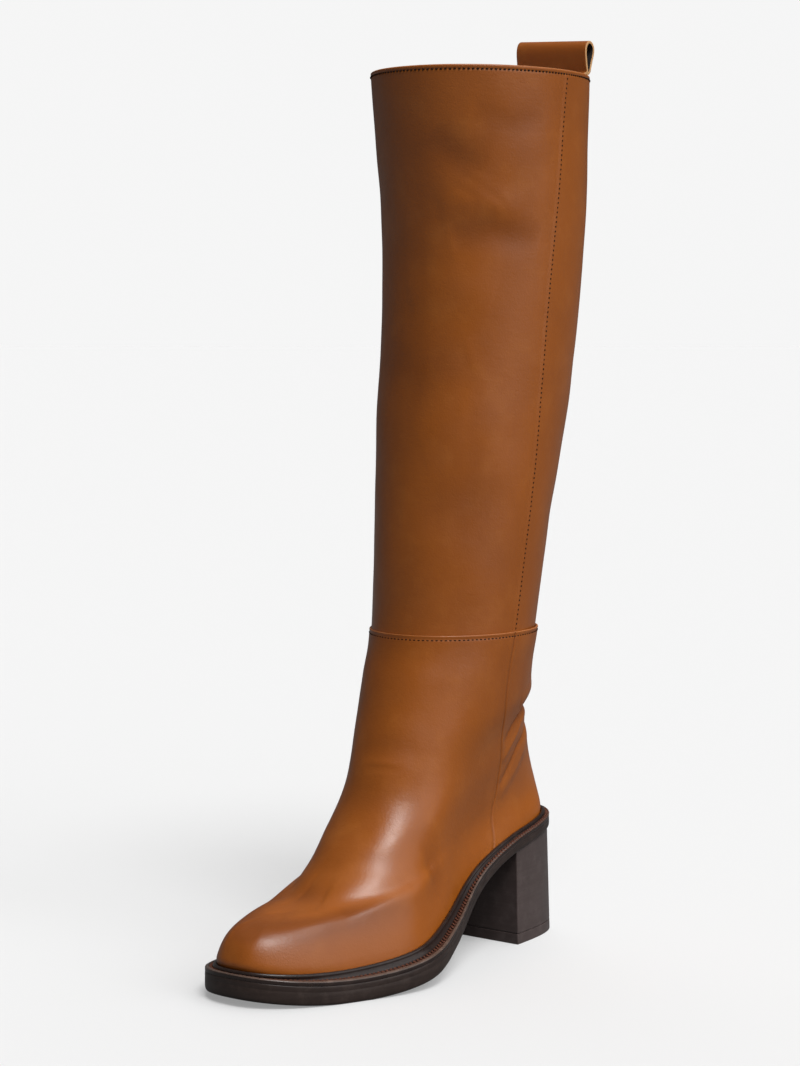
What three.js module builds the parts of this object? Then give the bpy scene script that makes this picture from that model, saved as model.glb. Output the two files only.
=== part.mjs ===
// Knee-high block-heeled boot for the left foot, empty and standing on its own sole.
// Millimetres, +Z up, toe towards -Y, outer (little-toe) side towards +X.
// "along" runs forward from the back of the seat to the toe, so a point's Y is -along before centring.
import * as THREE from "three";

// ---- driving sizes -------------------------------------------------------------------------------
const GAP = 0.3; // space left between pieces that touch
const TURNS = 64; // points round every outline, the first at the toe and the middle one at the heel
const UPPER_WALL = 2.0; // leather with its lining
const UPPER_TOP_WALL = 1.1; // skived where it laps over the shaft
const SHAFT_WALL = 1.8;
const LAP_STEP = 1.4; // how far the shaft's face lies inside the upper's face at the ankle seam
const OUTSOLE_FRONT = 10.2; // outsole thickness under the ball and toe
const OUTSOLE_SEAT = 5.2; // outsole thickness under the waist and the seat
const EDGE_FRONT = 9.0; // how far the sole's edge stands out from the upper in the forepart
const EDGE_SEAT = 5.4; // the same round the waist and the seat
const EDGE_DRAFT = 0.5; // the outsole's edge leans in this much towards the ground
const WELT_SHELF = 2.6; // height of the stitched shelf over the bed
const RIDGE_WIDTH = 2.4; // the rolled rib of the storm welt, against the upper
const RIDGE_FACE = 0.5; // it leans out this much down to the shelf
const RIDGE_TOP = 0.6; // where it ends on the upper, in contours
const INSOLE = 3.0; // thickness of the sock and insole board together
const HEEL_BREAST = 55; // along
const HEEL_INSET = 0.6; // heel block inside the outsole's edge at its top
const HEEL_SIDE_FLARE = 1.2; // wider on each side at the ground than under the seat
const HEEL_BACK_FLARE = 2.4; // further back at the ground than under the seat
const TOP_PIECE = 6.0; // the replaceable tread under the heel block
const LOOP_WIDTH = 48.5;
const LOOP_SHIFT = 4.75; // its middle lies this much to the outer side of the back
const LOOP_RISE = 26.4; // above the collar at its inner end
const LOOP_DROP = 2.6; // its top is this much lower at its outer end
const LOOP_LINE = -21.4; // along of its back face, once it runs straight across
const LOOP_CLEAR = 0.6; // height over the collar up to which it follows the lining
const LOOP_STRAIGHT = 7; // height over the collar from which it runs straight across
const LOOP_DEPTH = 24; // sewn down inside the collar
const LOOP_STRAP = 1.7; // leather thickness
const LOOP_COLUMNS = 8;

// The bed: height of the outsole's upper face, through the seat, waist, ball and toe spring.
const BED = [
  { along: -8, up: 68.0 },
  { along: 0, up: 67.0 },
  { along: 30, up: 62.5 },
  { along: 55, up: 58.0 },
  { along: 85, up: 47.5 },
  { along: 115, up: 31.5 },
  { along: 145, up: 19.5 },
  { along: 175, up: 13.0 },
  { along: 200, up: 10.2 },
  { along: 225, up: 10.6 },
  { along: 250, up: 13.6 },
  { along: 262, up: 15.8 },
];

// Outsole thickness and the edge's reach, as shares of their forepart values.
const FOREPART = [
  { along: -8, share: 0 },
  { along: 70, share: 0 },
  { along: 110, share: 0.45 },
  { along: 155, share: 1 },
  { along: 262, share: 1 },
];

// The last's plan at the feather line: share of its length, centre line and half width.
const PLAN = [
  { share: 0.0, centre: 0.0, half: 42.0 },
  { share: 0.1, centre: 0.0, half: 36.0 },
  { share: 0.22, centre: 0.0, half: 32.5 },
  { share: 0.4, centre: 1.7, half: 31.0 },
  { share: 0.53, centre: 4.2, half: 37.5 },
  { share: 0.66, centre: 4.2, half: 45.0 },
  { share: 0.82, centre: 0.3, half: 42.0 },
  { share: 1.0, centre: -3.5, half: 40.0 },
];
const BALL_HALF = 45;

// Contours of the last and the leg, one a row, each a closed loop round the boot: its front point,
// its back point, its half width, how much it keeps the plan above, and how square its ends are.
// The first is the feather line, the fourth crosses the vamp, the sixth the instep, the ninth is
// the ankle seam and the last is the collar.
const CONTOURS = [
  { front: 246.5, frontUp: 13.1, back: 4.5, backUp: 66.4, half: 46.0, plan: 1.0, square: 2.5 },
  { front: 251.5, frontUp: 22, back: 2.3, backUp: 73.8, half: 44.2, plan: 1.0, square: 2.45 },
  { front: 240, frontUp: 40, back: 3.3, backUp: 86.5, half: 40.6, plan: 0.95, square: 2.2 },
  { front: 198, frontUp: 46.5, back: 9, backUp: 103, half: 38.6, plan: 0.8, square: 2.15 },
  { front: 169, frontUp: 71, back: 15.5, backUp: 120.5, half: 39.4, plan: 0.6, square: 2.2 },
  { front: 151, frontUp: 94, back: 19.2, backUp: 136, half: 39.8, plan: 0.4, square: 2.1 },
  { front: 139.5, frontUp: 124, back: 18, backUp: 148, half: 42.0, plan: 0.2, square: 2.05 },
  { front: 129.5, frontUp: 152, back: 18.5, backUp: 164, half: 42.6, plan: 0.05, square: 2.05 },
  { front: 120.5, frontUp: 179, back: 17.5, backUp: 179, half: 44.0, plan: 0, square: 2.05 },
  { front: 116, frontUp: 230, back: 9, backUp: 230, half: 47.4, plan: 0, square: 2.05 },
  { front: 109.5, frontUp: 300, back: -5.8, backUp: 300, half: 52.0, plan: 0, square: 2.05 },
  { front: 103.5, frontUp: 390, back: -19.8, backUp: 390, half: 55.6, plan: 0, square: 2.05 },
  { front: 114.2, frontUp: 486.5, back: -24.4, backUp: 486.5, half: 58.2, plan: 0, square: 2.05 },
];
const SEAM = 8; // the ankle seam's contour
const COLLAR = 12;
const ARCH_ENDS = 6; // by this contour the arch of the bed has faded out

// Contours at which each wall gets a ring of points.
const UPPER_RINGS = [
  RIDGE_TOP, 1.1, 1.6, 2.1, 2.6, 3.1, 3.6, 4.1, 4.6, 5.1, 5.6, 6.1, 6.7, 7.3, 7.55, SEAM,
];
const SHAFT_RINGS = [7.65, SEAM, 8.5, 9, 9.6, 10.2, 10.8, 11.4, COLLAR];
const SKIVE_STARTS = 7.4;

// ---- shape functions -----------------------------------------------------------------------------
// A smooth line through the rows of a table, read at one place.
function through(rows, key, column, place) {
  const last = rows.length - 1;
  const at = (i) => (key === null ? i : rows[i][key]);
  const slopeBetween = (i) => (rows[i + 1][column] - rows[i][column]) / (at(i + 1) - at(i));
  const slope = (i) => {
    if (i === 0) return slopeBetween(0);
    if (i === last) return slopeBetween(last - 1);
    const before = at(i) - at(i - 1);
    const after = at(i + 1) - at(i);
    return (slopeBetween(i - 1) * after + slopeBetween(i) * before) / (before + after);
  };
  let i = 0;
  while (i < last - 1 && place > at(i + 1)) i += 1;
  const step = at(i + 1) - at(i);
  const t = THREE.MathUtils.clamp((place - at(i)) / step, 0, 1);
  const t2 = t * t;
  const t3 = t2 * t;
  return (
    (2 * t3 - 3 * t2 + 1) * rows[i][column] +
    (t3 - 2 * t2 + t) * step * slope(i) +
    (-2 * t3 + 3 * t2) * rows[i + 1][column] +
    (t3 - t2) * step * slope(i + 1)
  );
}

const bedUp = (along) => through(BED, "along", "up", along);
const forepart = (along) => THREE.MathUtils.clamp(through(FOREPART, "along", "share", along), 0, 1);
const edgeReach = (along) => THREE.MathUtils.lerp(EDGE_SEAT, EDGE_FRONT, forepart(along));

// Underside of the outsole, flat on the ground under the ball.
function treadUp(along) {
  const thickness = THREE.MathUtils.lerp(OUTSOLE_SEAT, OUTSOLE_FRONT, forepart(along));
  return Math.max(0, bedUp(along) - thickness);
}

const signedPower = (value, power) => Math.sign(value) * Math.abs(value) ** power;

// A point of the outer face of the upper and shaft: a contour, and a turn from the toe over the
// outer side to the heel and back (0 to 1).
function lastPoint(contour, turn) {
  const column = (name) => through(CONTOURS, null, name, contour);
  const front = column("front");
  const back = column("back");
  const keep = column("plan");
  const angle = turn * 2 * Math.PI;
  const forward = signedPower(Math.cos(angle), 2 / column("square"));
  const sideways = signedPower(Math.sin(angle), 2 / column("square"));
  const share = (1 + forward) / 2;
  const along = THREE.MathUtils.lerp(back, front, share);
  const station = (along - CONTOURS[0].back) / (CONTOURS[0].front - CONTOURS[0].back);
  const planHalf = through(PLAN, "share", "half", station) / BALL_HALF;
  const half = column("half") * (1 + (planHalf - 1) * keep);
  const x = through(PLAN, "share", "centre", station) * keep + sideways * half;
  const chord = THREE.MathUtils.lerp(CONTOURS[0].backUp, CONTOURS[0].frontUp, share);
  const arch = (bedUp(along) - chord) * Math.max(0, 1 - contour / ARCH_ENDS);
  const z = THREE.MathUtils.lerp(column("backUp"), column("frontUp"), share) + arch;
  return new THREE.Vector3(x, -along, z);
}

// The same point moved along the face's own normal, outwards if the offset is positive.
function facePoint(contour, turn, offset) {
  const low = Math.max(0, contour - 0.05);
  const high = Math.min(COLLAR, contour + 0.05);
  const up = lastPoint(high, turn).sub(lastPoint(low, turn));
  const round = lastPoint(contour, turn + 0.002).sub(lastPoint(contour, turn - 0.002));
  const normal = round.cross(up).normalize();
  return lastPoint(contour, turn).addScaledVector(normal, offset);
}

// A point of the feather line moved out in plan, at its place along the boot.
function featherPoint(turn, offset) {
  const round = lastPoint(0, turn + 0.002).sub(lastPoint(0, turn - 0.002));
  const outward = new THREE.Vector3(round.y, -round.x, 0).normalize();
  return lastPoint(0, turn).addScaledVector(outward, offset);
}

// ---- body builders -------------------------------------------------------------------------------
function closedBody(points, triangles) {
  const solid = new THREE.BufferGeometry();
  const places = points.flatMap((point) => [point.x, point.y, point.z]);
  solid.setAttribute("position", new THREE.Float32BufferAttribute(places, 3));
  const volume = triangles.reduce((sum, [a, b, c]) => {
    const cross = new THREE.Vector3().crossVectors(points[b], points[c]);
    return sum + points[a].dot(cross) / 6;
  }, 0);
  const facing = volume > 0 ? triangles : triangles.map(([a, b, c]) => [a, c, b]);
  solid.setIndex(facing.flat());
  solid.computeVertexNormals();
  return solid;
}

// A wall that runs all the way round the boot: one closed profile at each turn.
function ringWall(profileAt) {
  const profiles = Array.from({ length: TURNS }, (_, j) => profileAt(j / TURNS));
  const size = profiles[0].length;
  const triangles = [];
  for (let j = 0; j < TURNS; j += 1) {
    const here = j * size;
    const next = ((j + 1) % TURNS) * size;
    for (let k = 0; k < size; k += 1) {
      const after = (k + 1) % size;
      triangles.push([here + k, next + k, next + after]);
      triangles.push([here + k, next + after, here + after]);
    }
  }
  return closedBody(profiles.flat(), triangles);
}

// A plate between two outlines of the same points, both running toe, outer side, heel, inner side.
// Its faces are strips across from one side to the other, so they follow the arch.
function plate(top, bottom, squareEnd) {
  const count = top.length;
  const triangles = [];
  for (let j = 0; j < count; j += 1) {
    const next = (j + 1) % count;
    triangles.push([j, next, count + next]);
    triangles.push([j, count + next, count + j]);
  }
  const start = squareEnd ? 0 : 1;
  for (const [base, flip] of [[0, false], [count, true]]) {
    const across = (a, b, c) => {
      const corners = flip ? [a, b, c] : [a, c, b];
      triangles.push(corners.map((corner) => base + corner));
    };
    if (!squareEnd) across(0, 1, count - 1);
    for (let j = start; 2 * j < count - 1; j += 1) {
      const near = squareEnd ? count - 1 - j : count - j;
      if (near - 1 <= j) break;
      across(j, j + 1, near);
      if (near - 1 > j + 1) across(j + 1, near - 1, near);
    }
  }
  return closedBody([...top, ...bottom], triangles);
}

const turns = Array.from({ length: TURNS }, (_, j) => j / TURNS);
const atHeight = (point, up) => new THREE.Vector3(point.x, point.y, up);

// ---- pieces --------------------------------------------------------------------------------------
function outsole() {
  const top = turns.map((turn) => {
    const edge = featherPoint(turn, edgeReach(-lastPoint(0, turn).y));
    return atHeight(edge, bedUp(-edge.y));
  });
  const bottom = turns.map((turn) => {
    const edge = featherPoint(turn, edgeReach(-lastPoint(0, turn).y) - EDGE_DRAFT);
    return atHeight(edge, treadUp(-edge.y));
  });
  return plate(top, bottom, false);
}

function welt() {
  return ringWall((turn) => {
    const reach = edgeReach(-lastPoint(0, turn).y);
    const onBed = (offset, up) => {
      const point = featherPoint(turn, offset);
      return atHeight(point, bedUp(-point.y) + up);
    };
    const crest = facePoint(RIDGE_TOP, turn, 0);
    const beside = (offset, drop) => {
      const point = facePoint(RIDGE_TOP, turn, offset);
      return atHeight(point, crest.z - drop);
    };
    return [
      onBed(GAP, GAP),
      beside(GAP + 0.05, 0),
      beside(RIDGE_WIDTH * 0.6, -0.1),
      beside(RIDGE_WIDTH, 0.9),
      onBed(RIDGE_WIDTH + RIDGE_FACE, WELT_SHELF),
      onBed(reach - 0.8, WELT_SHELF),
      onBed(reach, WELT_SHELF - 0.8),
      onBed(reach, GAP),
    ];
  });
}

function upper() {
  return ringWall((turn) => {
    const foot = atHeight(featherPoint(turn, 0), 0);
    foot.z = bedUp(-foot.y) + GAP;
    const inside = atHeight(featherPoint(turn, -UPPER_WALL), 0);
    inside.z = bedUp(-inside.y) + GAP;
    const outerFace = UPPER_RINGS.map((contour) => facePoint(contour, turn, 0));
    const innerFace = UPPER_RINGS.map((contour) => {
      const wall = contour > SKIVE_STARTS ? UPPER_TOP_WALL : UPPER_WALL;
      return facePoint(contour, turn, -wall);
    });
    return [foot, ...outerFace, ...innerFace.reverse(), inside];
  });
}

function shaft() {
  return ringWall((turn) => {
    const outerFace = SHAFT_RINGS.map((contour) => facePoint(contour, turn, -LAP_STEP));
    const innerFace = SHAFT_RINGS.map((contour) => facePoint(contour, turn, -LAP_STEP - SHAFT_WALL));
    return [...outerFace, ...innerFace.reverse()];
  });
}

// A point just inside the upper's lining, at a height over the bed within its lowest band.
function liningPoint(turn, up) {
  const foot = featherPoint(turn, -UPPER_WALL);
  foot.z = bedUp(-foot.y) + GAP;
  const above = facePoint(RIDGE_TOP, turn, -UPPER_WALL);
  const point = foot.clone().lerp(above, (up - GAP) / (above.z - foot.z));
  const round = lastPoint(0, turn + 0.002).sub(lastPoint(0, turn - 0.002));
  const inward = new THREE.Vector3(-round.y, round.x, 0).normalize();
  return point.addScaledVector(inward, GAP + 0.05);
}

function insole() {
  const top = turns.map((turn) => liningPoint(turn, GAP + INSOLE));
  const bottom = turns.map((turn) => liningPoint(turn, GAP));
  return plate(top, bottom, false);
}

// The heel's D-shaped outline at one height: the seat's own outline back from the breast, flared
// outwards and backwards by a share that grows towards the ground.
function heelOutline(flare) {
  const seat = turns
    .map((turn) => featherPoint(turn, EDGE_SEAT - EDGE_DRAFT - HEEL_INSET))
    .filter((point) => -point.y < HEEL_BREAST - 1);
  const corner = (point) => new THREE.Vector3(point.x, -HEEL_BREAST, 0);
  const outline = [corner(seat[0]), ...seat, corner(seat[seat.length - 1])];
  return outline.map((point) => {
    const back = 1 + point.y / HEEL_BREAST;
    const x = point.x + Math.sign(point.x) * HEEL_SIDE_FLARE * flare;
    return new THREE.Vector3(x, point.y + HEEL_BACK_FLARE * flare * back, 0);
  });
}

function heelBlock() {
  const top = heelOutline(0).map((point) => atHeight(point, treadUp(-point.y) - GAP));
  const bottom = heelOutline(0.9).map((point) => atHeight(point, TOP_PIECE + GAP));
  return plate(top, bottom, true);
}

function heelTopPiece() {
  const top = heelOutline(0.9).map((point) => atHeight(point, TOP_PIECE));
  const bottom = heelOutline(1).map((point) => atHeight(point, 0));
  return plate(top, bottom, true);
}

// The loop's outline seen along its width: how far in from its back face where the two legs lie
// together, and how high over the collar's edge. Both outlines of the open part run from the back
// leg over the top to the front leg and have the same number of points.
const LOOP_OUTER = [
  { inward: 0, up: 6 },
  { inward: -2.6, up: 12.5 },
  { inward: -4.2, up: 19.5 },
  { inward: -2.9, up: LOOP_RISE - 1.8 },
  { inward: 0.65, up: LOOP_RISE },
  { inward: 4.0, up: LOOP_RISE - 1.8 },
  { inward: 5.5, up: 19.5 },
  { inward: 2 * LOOP_STRAP, up: 6 },
];
const LOOP_INNER = [
  { inward: 1.4, up: 6.8 },
  { inward: LOOP_STRAP - 2.6, up: 12.8 },
  { inward: LOOP_STRAP - 4.2, up: 19.3 },
  { inward: LOOP_STRAP - 3.3, up: LOOP_RISE - 3 },
  { inward: 0.65, up: LOOP_RISE - LOOP_STRAP },
  { inward: 4.5 - LOOP_STRAP, up: LOOP_RISE - 3 },
  { inward: 5.5 - LOOP_STRAP, up: 19.3 },
  { inward: 2.0, up: 6.8 },
];
const LOOP_LEGS = [
  { inward: 2 * LOOP_STRAP, up: LOOP_CLEAR },
  { inward: 2 * LOOP_STRAP, up: -LOOP_DEPTH },
  { inward: 0, up: -LOOP_DEPTH },
  { inward: 0, up: LOOP_CLEAR },
];

// One point of the loop, at a share of its width from its inner end to its outer end.
function loopPoint(share, inward, up) {
  const collar = CONTOURS[COLLAR];
  const perContour = collar.frontUp - CONTOURS[COLLAR - 1].frontUp;
  const toLining = LAP_STEP + SHAFT_WALL + GAP + 0.1;
  const across = LOOP_SHIFT + (share - 0.5) * LOOP_WIDTH;
  const turn = 0.5 - Math.asin(across / collar.half) / (2 * Math.PI);
  const inside = new THREE.Vector3(-across / collar.half, -1, 0).normalize();
  const lining = facePoint(COLLAR - Math.max(0, -up) / perContour, turn, -toLining);
  const curved = lining.addScaledVector(inside, inward);
  const straight = new THREE.Vector3(across, -LOOP_LINE - inward, 0);
  const rise = (up - LOOP_CLEAR) / (LOOP_STRAIGHT - LOOP_CLEAR);
  const drop = LOOP_DROP * share * THREE.MathUtils.clamp(up / LOOP_RISE, 0, 1);
  const point = curved.lerp(straight, THREE.MathUtils.clamp(rise, 0, 1));
  return atHeight(point, collar.frontUp + up - drop);
}

function pullLoop() {
  const profile = [...LOOP_OUTER, ...LOOP_LEGS, ...LOOP_INNER];
  const open = LOOP_OUTER.length;
  const round = open + LOOP_LEGS.length;
  const size = profile.length;
  const points = [];
  for (let column = 0; column <= LOOP_COLUMNS; column += 1) {
    points.push(...profile.map(({ inward, up }) => loopPoint(column / LOOP_COLUMNS, inward, up)));
  }
  const triangles = [];
  const quad = (a, b, c, d) => triangles.push([a, b, c], [a, c, d]);
  for (let here = 0; here < LOOP_COLUMNS * size; here += size) {
    const next = here + size;
    for (let k = 0; k < round; k += 1) {
      const after = (k + 1) % round;
      quad(here + k, here + after, next + after, next + k);
    }
    for (let k = 0; k < open; k += 1) {
      const inner = round + k;
      const after = round + ((k + 1) % open);
      quad(here + after, here + inner, next + inner, next + after);
    }
  }
  const endQuad = (a, b, c, d) => {
    const end = LOOP_COLUMNS * size;
    quad(a, b, c, d);
    quad(end + d, end + c, end + b, end + a);
  };
  for (let k = 0; k < open; k += 1) {
    const after = (k + 1) % open;
    endQuad(after, k, round + k, round + after);
  }
  endQuad(open - 1, 0, round - 1, open);
  endQuad(open, round - 1, round - 2, open + 1);
  return closedBody(points, triangles);
}

// ---- assembly ------------------------------------------------------------------------------------
const finish = (color, roughness) => new THREE.MeshStandardMaterial({ color, roughness, metalness: 0 });
const tanLeather = finish("#9a5722", 0.45);
const paleLining = finish("#b98a5a", 0.8);
const weltRubber = finish("#2c201b", 0.4);
const soleRubber = finish("#3a2d28", 0.6);
const heelStack = finish("#41342f", 0.55);

const PIECES = [
  ["outsole", outsole(), soleRubber],
  ["welt", welt(), weltRubber],
  ["heel_block", heelBlock(), heelStack],
  ["heel_top_piece", heelTopPiece(), soleRubber],
  ["upper", upper(), tanLeather],
  ["shaft", shaft(), tanLeather],
  ["insole", insole(), paleLining],
  ["pull_loop", pullLoop(), tanLeather],
];

const boot = new THREE.Group();
for (const [name, solid, material] of PIECES) {
  const piece = new THREE.Mesh(solid, material);
  piece.name = name;
  boot.add(piece);
}

// The part's origin is on the ground, in the middle of the boot's box.
const box = new THREE.Box3().setFromObject(boot);
const middle = box.getCenter(new THREE.Vector3());
boot.position.set(-middle.x, -middle.y, -box.min.z);

export default boot;
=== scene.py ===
"""Looks of a knee-high boot: leather, lining, stitching, storm welt, sole and block heel.

Sizes are millimetres in the shoe's own measure: x towards the outer side, along from the back of
the seat to the toe, and up from the ground. The last turns them into places in the part's frame.
"""

import logging
import math
from collections.abc import Callable, Mapping, Sequence
from dataclasses import dataclass
from enum import Enum

import bmesh
import bpy
import numpy as np
from mathutils import Matrix, Vector, noise


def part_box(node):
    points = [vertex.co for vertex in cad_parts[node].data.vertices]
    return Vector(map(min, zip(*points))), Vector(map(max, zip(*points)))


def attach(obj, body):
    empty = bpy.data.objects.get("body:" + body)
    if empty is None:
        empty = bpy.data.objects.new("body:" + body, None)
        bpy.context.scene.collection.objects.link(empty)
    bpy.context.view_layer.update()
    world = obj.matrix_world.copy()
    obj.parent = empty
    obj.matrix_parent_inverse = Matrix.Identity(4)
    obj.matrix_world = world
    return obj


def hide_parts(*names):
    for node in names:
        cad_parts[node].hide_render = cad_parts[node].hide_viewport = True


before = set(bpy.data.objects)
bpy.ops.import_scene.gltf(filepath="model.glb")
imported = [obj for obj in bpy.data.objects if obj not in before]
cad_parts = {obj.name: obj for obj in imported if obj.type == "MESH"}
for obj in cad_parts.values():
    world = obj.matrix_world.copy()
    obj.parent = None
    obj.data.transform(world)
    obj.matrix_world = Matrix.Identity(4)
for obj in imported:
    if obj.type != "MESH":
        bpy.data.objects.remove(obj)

Array = np.ndarray
Shape = Callable[[Array, Array], Array]
Wires = Mapping[str | int, object]
Socket = bpy.types.NodeSocket
Triple = tuple[float, float, float]

MM = 0.001  # metres in a millimetre
WELD = 3e-6  # metres between points that are one
TURN_STEP = 0.002  # turns to each side over which a direction round the boot is read
CONTOUR_STEP = 0.05  # contours to each side over which a direction up the boot is read
HEEL_BREAST = 55.0  # along, where the heel block's front face stands
LAP_STEP = 1.4  # how far the shaft's face lies inside the upper's at the ankle seam
SHAFT_WALL = 1.8
EDGE_DRAFT = 0.5  # the outsole's edge leans in this much towards the ground
log = logging.getLogger("boot")


# ---- the last ------------------------------------------------------------------------------------
@dataclass(frozen=True)
class Contour:
    """One closed loop round the last or the leg: its ends, half width and how it keeps the plan."""

    front: float
    front_up: float
    back: float
    back_up: float
    half: float
    plan: float
    square: float


@dataclass(frozen=True)
class Line:
    """A smooth line through places and the values at them."""

    places: tuple[float, ...]
    values: tuple[float, ...]

    def at(self, place: Array | float) -> Array:
        """Reads the line.

        Args:
            place: Where to read it, held to its first and last places.

        Returns:
            The values there.
        """
        xs = np.asarray(self.places, float)
        ys = np.asarray(self.values, float)
        run = np.diff(xs)
        rise = np.diff(ys) / run
        slope = np.empty_like(ys)
        slope[0] = rise[0]
        slope[-1] = rise[-1]
        slope[1:-1] = (rise[:-1] * run[1:] + rise[1:] * run[:-1]) / (run[1:] + run[:-1])
        place = np.asarray(place, float)
        i = np.clip(np.searchsorted(xs, place, side="right") - 1, 0, len(xs) - 2)
        step = xs[i + 1] - xs[i]
        t = np.clip((place - xs[i]) / step, 0, 1)
        return (
            (2 * t**3 - 3 * t**2 + 1) * ys[i]
            + (t**3 - 2 * t**2 + t) * step * slope[i]
            + (-2 * t**3 + 3 * t**2) * ys[i + 1]
            + (t**3 - t**2) * step * slope[i + 1]
        )


@dataclass(frozen=True)
class Last:
    """The form that the boot is made on, with the leg above it.

    A contour (0 at the feather line, 8 at the ankle seam, 12 at the collar) and a turn (0 at the
    toe, 0.25 on the outer side, 0.5 at the heel) name each place on it.
    """

    contours: tuple[Contour, ...] = (
        Contour(246.5, 13.1, 4.5, 66.4, 46.0, 1.0, 2.5),
        Contour(251.5, 22.0, 2.3, 73.8, 44.2, 1.0, 2.45),
        Contour(240.0, 40.0, 3.3, 86.5, 40.6, 0.95, 2.2),
        Contour(198.0, 46.5, 9.0, 103.0, 38.6, 0.8, 2.15),
        Contour(169.0, 71.0, 15.5, 120.5, 39.4, 0.6, 2.2),
        Contour(151.0, 94.0, 19.2, 136.0, 39.8, 0.4, 2.1),
        Contour(139.5, 124.0, 18.0, 148.0, 42.0, 0.2, 2.05),
        Contour(129.5, 152.0, 18.5, 164.0, 42.6, 0.05, 2.05),
        Contour(120.5, 179.0, 17.5, 179.0, 44.0, 0.0, 2.05),
        Contour(116.0, 230.0, 9.0, 230.0, 47.4, 0.0, 2.05),
        Contour(109.5, 300.0, -5.8, 300.0, 52.0, 0.0, 2.05),
        Contour(103.5, 390.0, -19.8, 390.0, 55.6, 0.0, 2.05),
        Contour(114.2, 486.5, -24.4, 486.5, 58.2, 0.0, 2.05),
    )
    bed: Line = Line(
        (-8, 0, 30, 55, 85, 115, 145, 175, 200, 225, 250, 262),
        (68.0, 67.0, 62.5, 58.0, 47.5, 31.5, 19.5, 13.0, 10.2, 10.6, 13.6, 15.8),
    )
    forepart: Line = Line((-8, 70, 110, 155, 262), (0, 0, 0.45, 1, 1))
    plan_centre: Line = Line((0, 0.1, 0.22, 0.4, 0.53, 0.66, 0.82, 1), (0, 0, 0, 1.7, 4.2, 4.2, 0.3, -3.5))
    plan_half: Line = Line((0, 0.1, 0.22, 0.4, 0.53, 0.66, 0.82, 1), (42, 36, 32.5, 31, 37.5, 45, 42, 40))
    side_seam: Line = Line(
        (0, 1, 2.1, 3.5, 5, 6.3, 7, 8, 9, 9.6, 10.1, 10.9, 11.5, 12),
        (0.306, 0.312, 0.317, 0.304, 0.284, 0.258, 0.252, 0.245, 0.243, 0.236, 0.229, 0.224, 0.239, 0.254),
    )
    ball_half: float = 45.0
    arch_ends: float = 6.0
    ankle: float = 8.0
    collar: float = 12.0
    outsole_front: float = 10.2
    outsole_seat: float = 5.2
    edge_front: float = 9.0
    edge_seat: float = 5.4

    def column(self, name: str, contour: Array) -> Array:
        """One column of the contour table, read between its rows."""
        values = tuple(getattr(row, name) for row in self.contours)
        return Line(tuple(range(len(values))), values).at(contour)

    def point(self, contour: Array | float, turn: Array | float) -> Array:
        """Places on the outer face of the upper and the shaft.

        Args:
            contour: Contour numbers.
            turn: Turns round the boot.

        Returns:
            An array of x, minus along, up.
        """
        contour, turn = np.broadcast_arrays(np.asarray(contour, float), np.asarray(turn, float))
        angle = 2 * np.pi * turn
        power = 2 / self.column("square", contour)
        forward = np.sign(np.cos(angle)) * np.abs(np.cos(angle)) ** power
        sideways = np.sign(np.sin(angle)) * np.abs(np.sin(angle)) ** power
        share = (1 + forward) / 2
        back = self.column("back", contour)
        along = back + (self.column("front", contour) - back) * share
        keep = self.column("plan", contour)
        station = self.plan_share(along)
        widening = self.plan_half.at(station) / self.ball_half - 1
        half = self.column("half", contour) * (1 + widening * keep)
        x = self.plan_centre.at(station) * keep + sideways * half
        heel, toe = self.contours[0].back_up, self.contours[0].front_up
        fading = np.maximum(0, 1 - contour / self.arch_ends)
        arch = (self.bed.at(along) - (heel + (toe - heel) * share)) * fading
        back_up = self.column("back_up", contour)
        up = back_up + (self.column("front_up", contour) - back_up) * share + arch
        return np.stack([x, -along, up], -1)

    def plan_share(self, along: Array | float) -> Array:
        """Share of the feather line's length at a place along the shoe."""
        feather = self.contours[0]
        return (along - feather.back) / (feather.front - feather.back)

    def spacing(self, contour: float) -> float:
        """Millimetres up the front from the contour below to this one."""
        row = round(contour)
        return self.contours[row].front_up - self.contours[row - 1].front_up

    def directions(self, contour: Array | float, turn: Array | float) -> tuple[Array, Array, Array]:
        """Unit directions on the face at each place.

        Args:
            contour: Contour numbers.
            turn: Turns round the boot.

        Returns:
            Outwards, onwards round the boot, and up the face.
        """
        contour, turn = np.broadcast_arrays(np.asarray(contour, float), np.asarray(turn, float))
        low = np.maximum(0, contour - CONTOUR_STEP)
        high = np.minimum(self.collar, contour + CONTOUR_STEP)
        up = self.point(high, turn) - self.point(low, turn)
        onward = self.point(contour, turn + TURN_STEP) - self.point(contour, turn - TURN_STEP)
        out = unit(np.cross(onward, up))
        onward = unit(onward)
        return out, onward, np.cross(out, onward)

    def face(self, contour: Array | float, turn: Array | float, offset: Array | float = 0.0) -> Array:
        """Places moved out from the face by an offset."""
        out, _, _ = self.directions(contour, turn)
        return self.point(contour, turn) + out * np.asarray(offset, float)[..., None]

    def girth_step(self, contour: Array | float, turn: Array | float) -> Array:
        """Millimetres round the boot for one whole turn, at each place.

        Args:
            contour: Contour numbers.
            turn: Turns round the boot.

        Returns:
            The lengths.
        """
        ahead = self.point(contour, np.asarray(turn) + TURN_STEP)
        behind = self.point(contour, np.asarray(turn) - TURN_STEP)
        return np.linalg.norm(ahead - behind, axis=-1) / (2 * TURN_STEP)

    def feather(self, turn: Array | float, offset: Array | float) -> Array:
        """Places of the feather line moved out in plan.

        Args:
            turn: Turns round the boot.
            offset: Millimetres outwards.

        Returns:
            An array of x, minus along, up.
        """
        turn = np.asarray(turn, float)
        onward = self.point(0, turn + TURN_STEP) - self.point(0, turn - TURN_STEP)
        outward = unit(np.stack([onward[..., 1], -onward[..., 0], np.zeros_like(turn)], -1))
        return self.point(0, turn) + outward * np.asarray(offset, float)[..., None]

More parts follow.
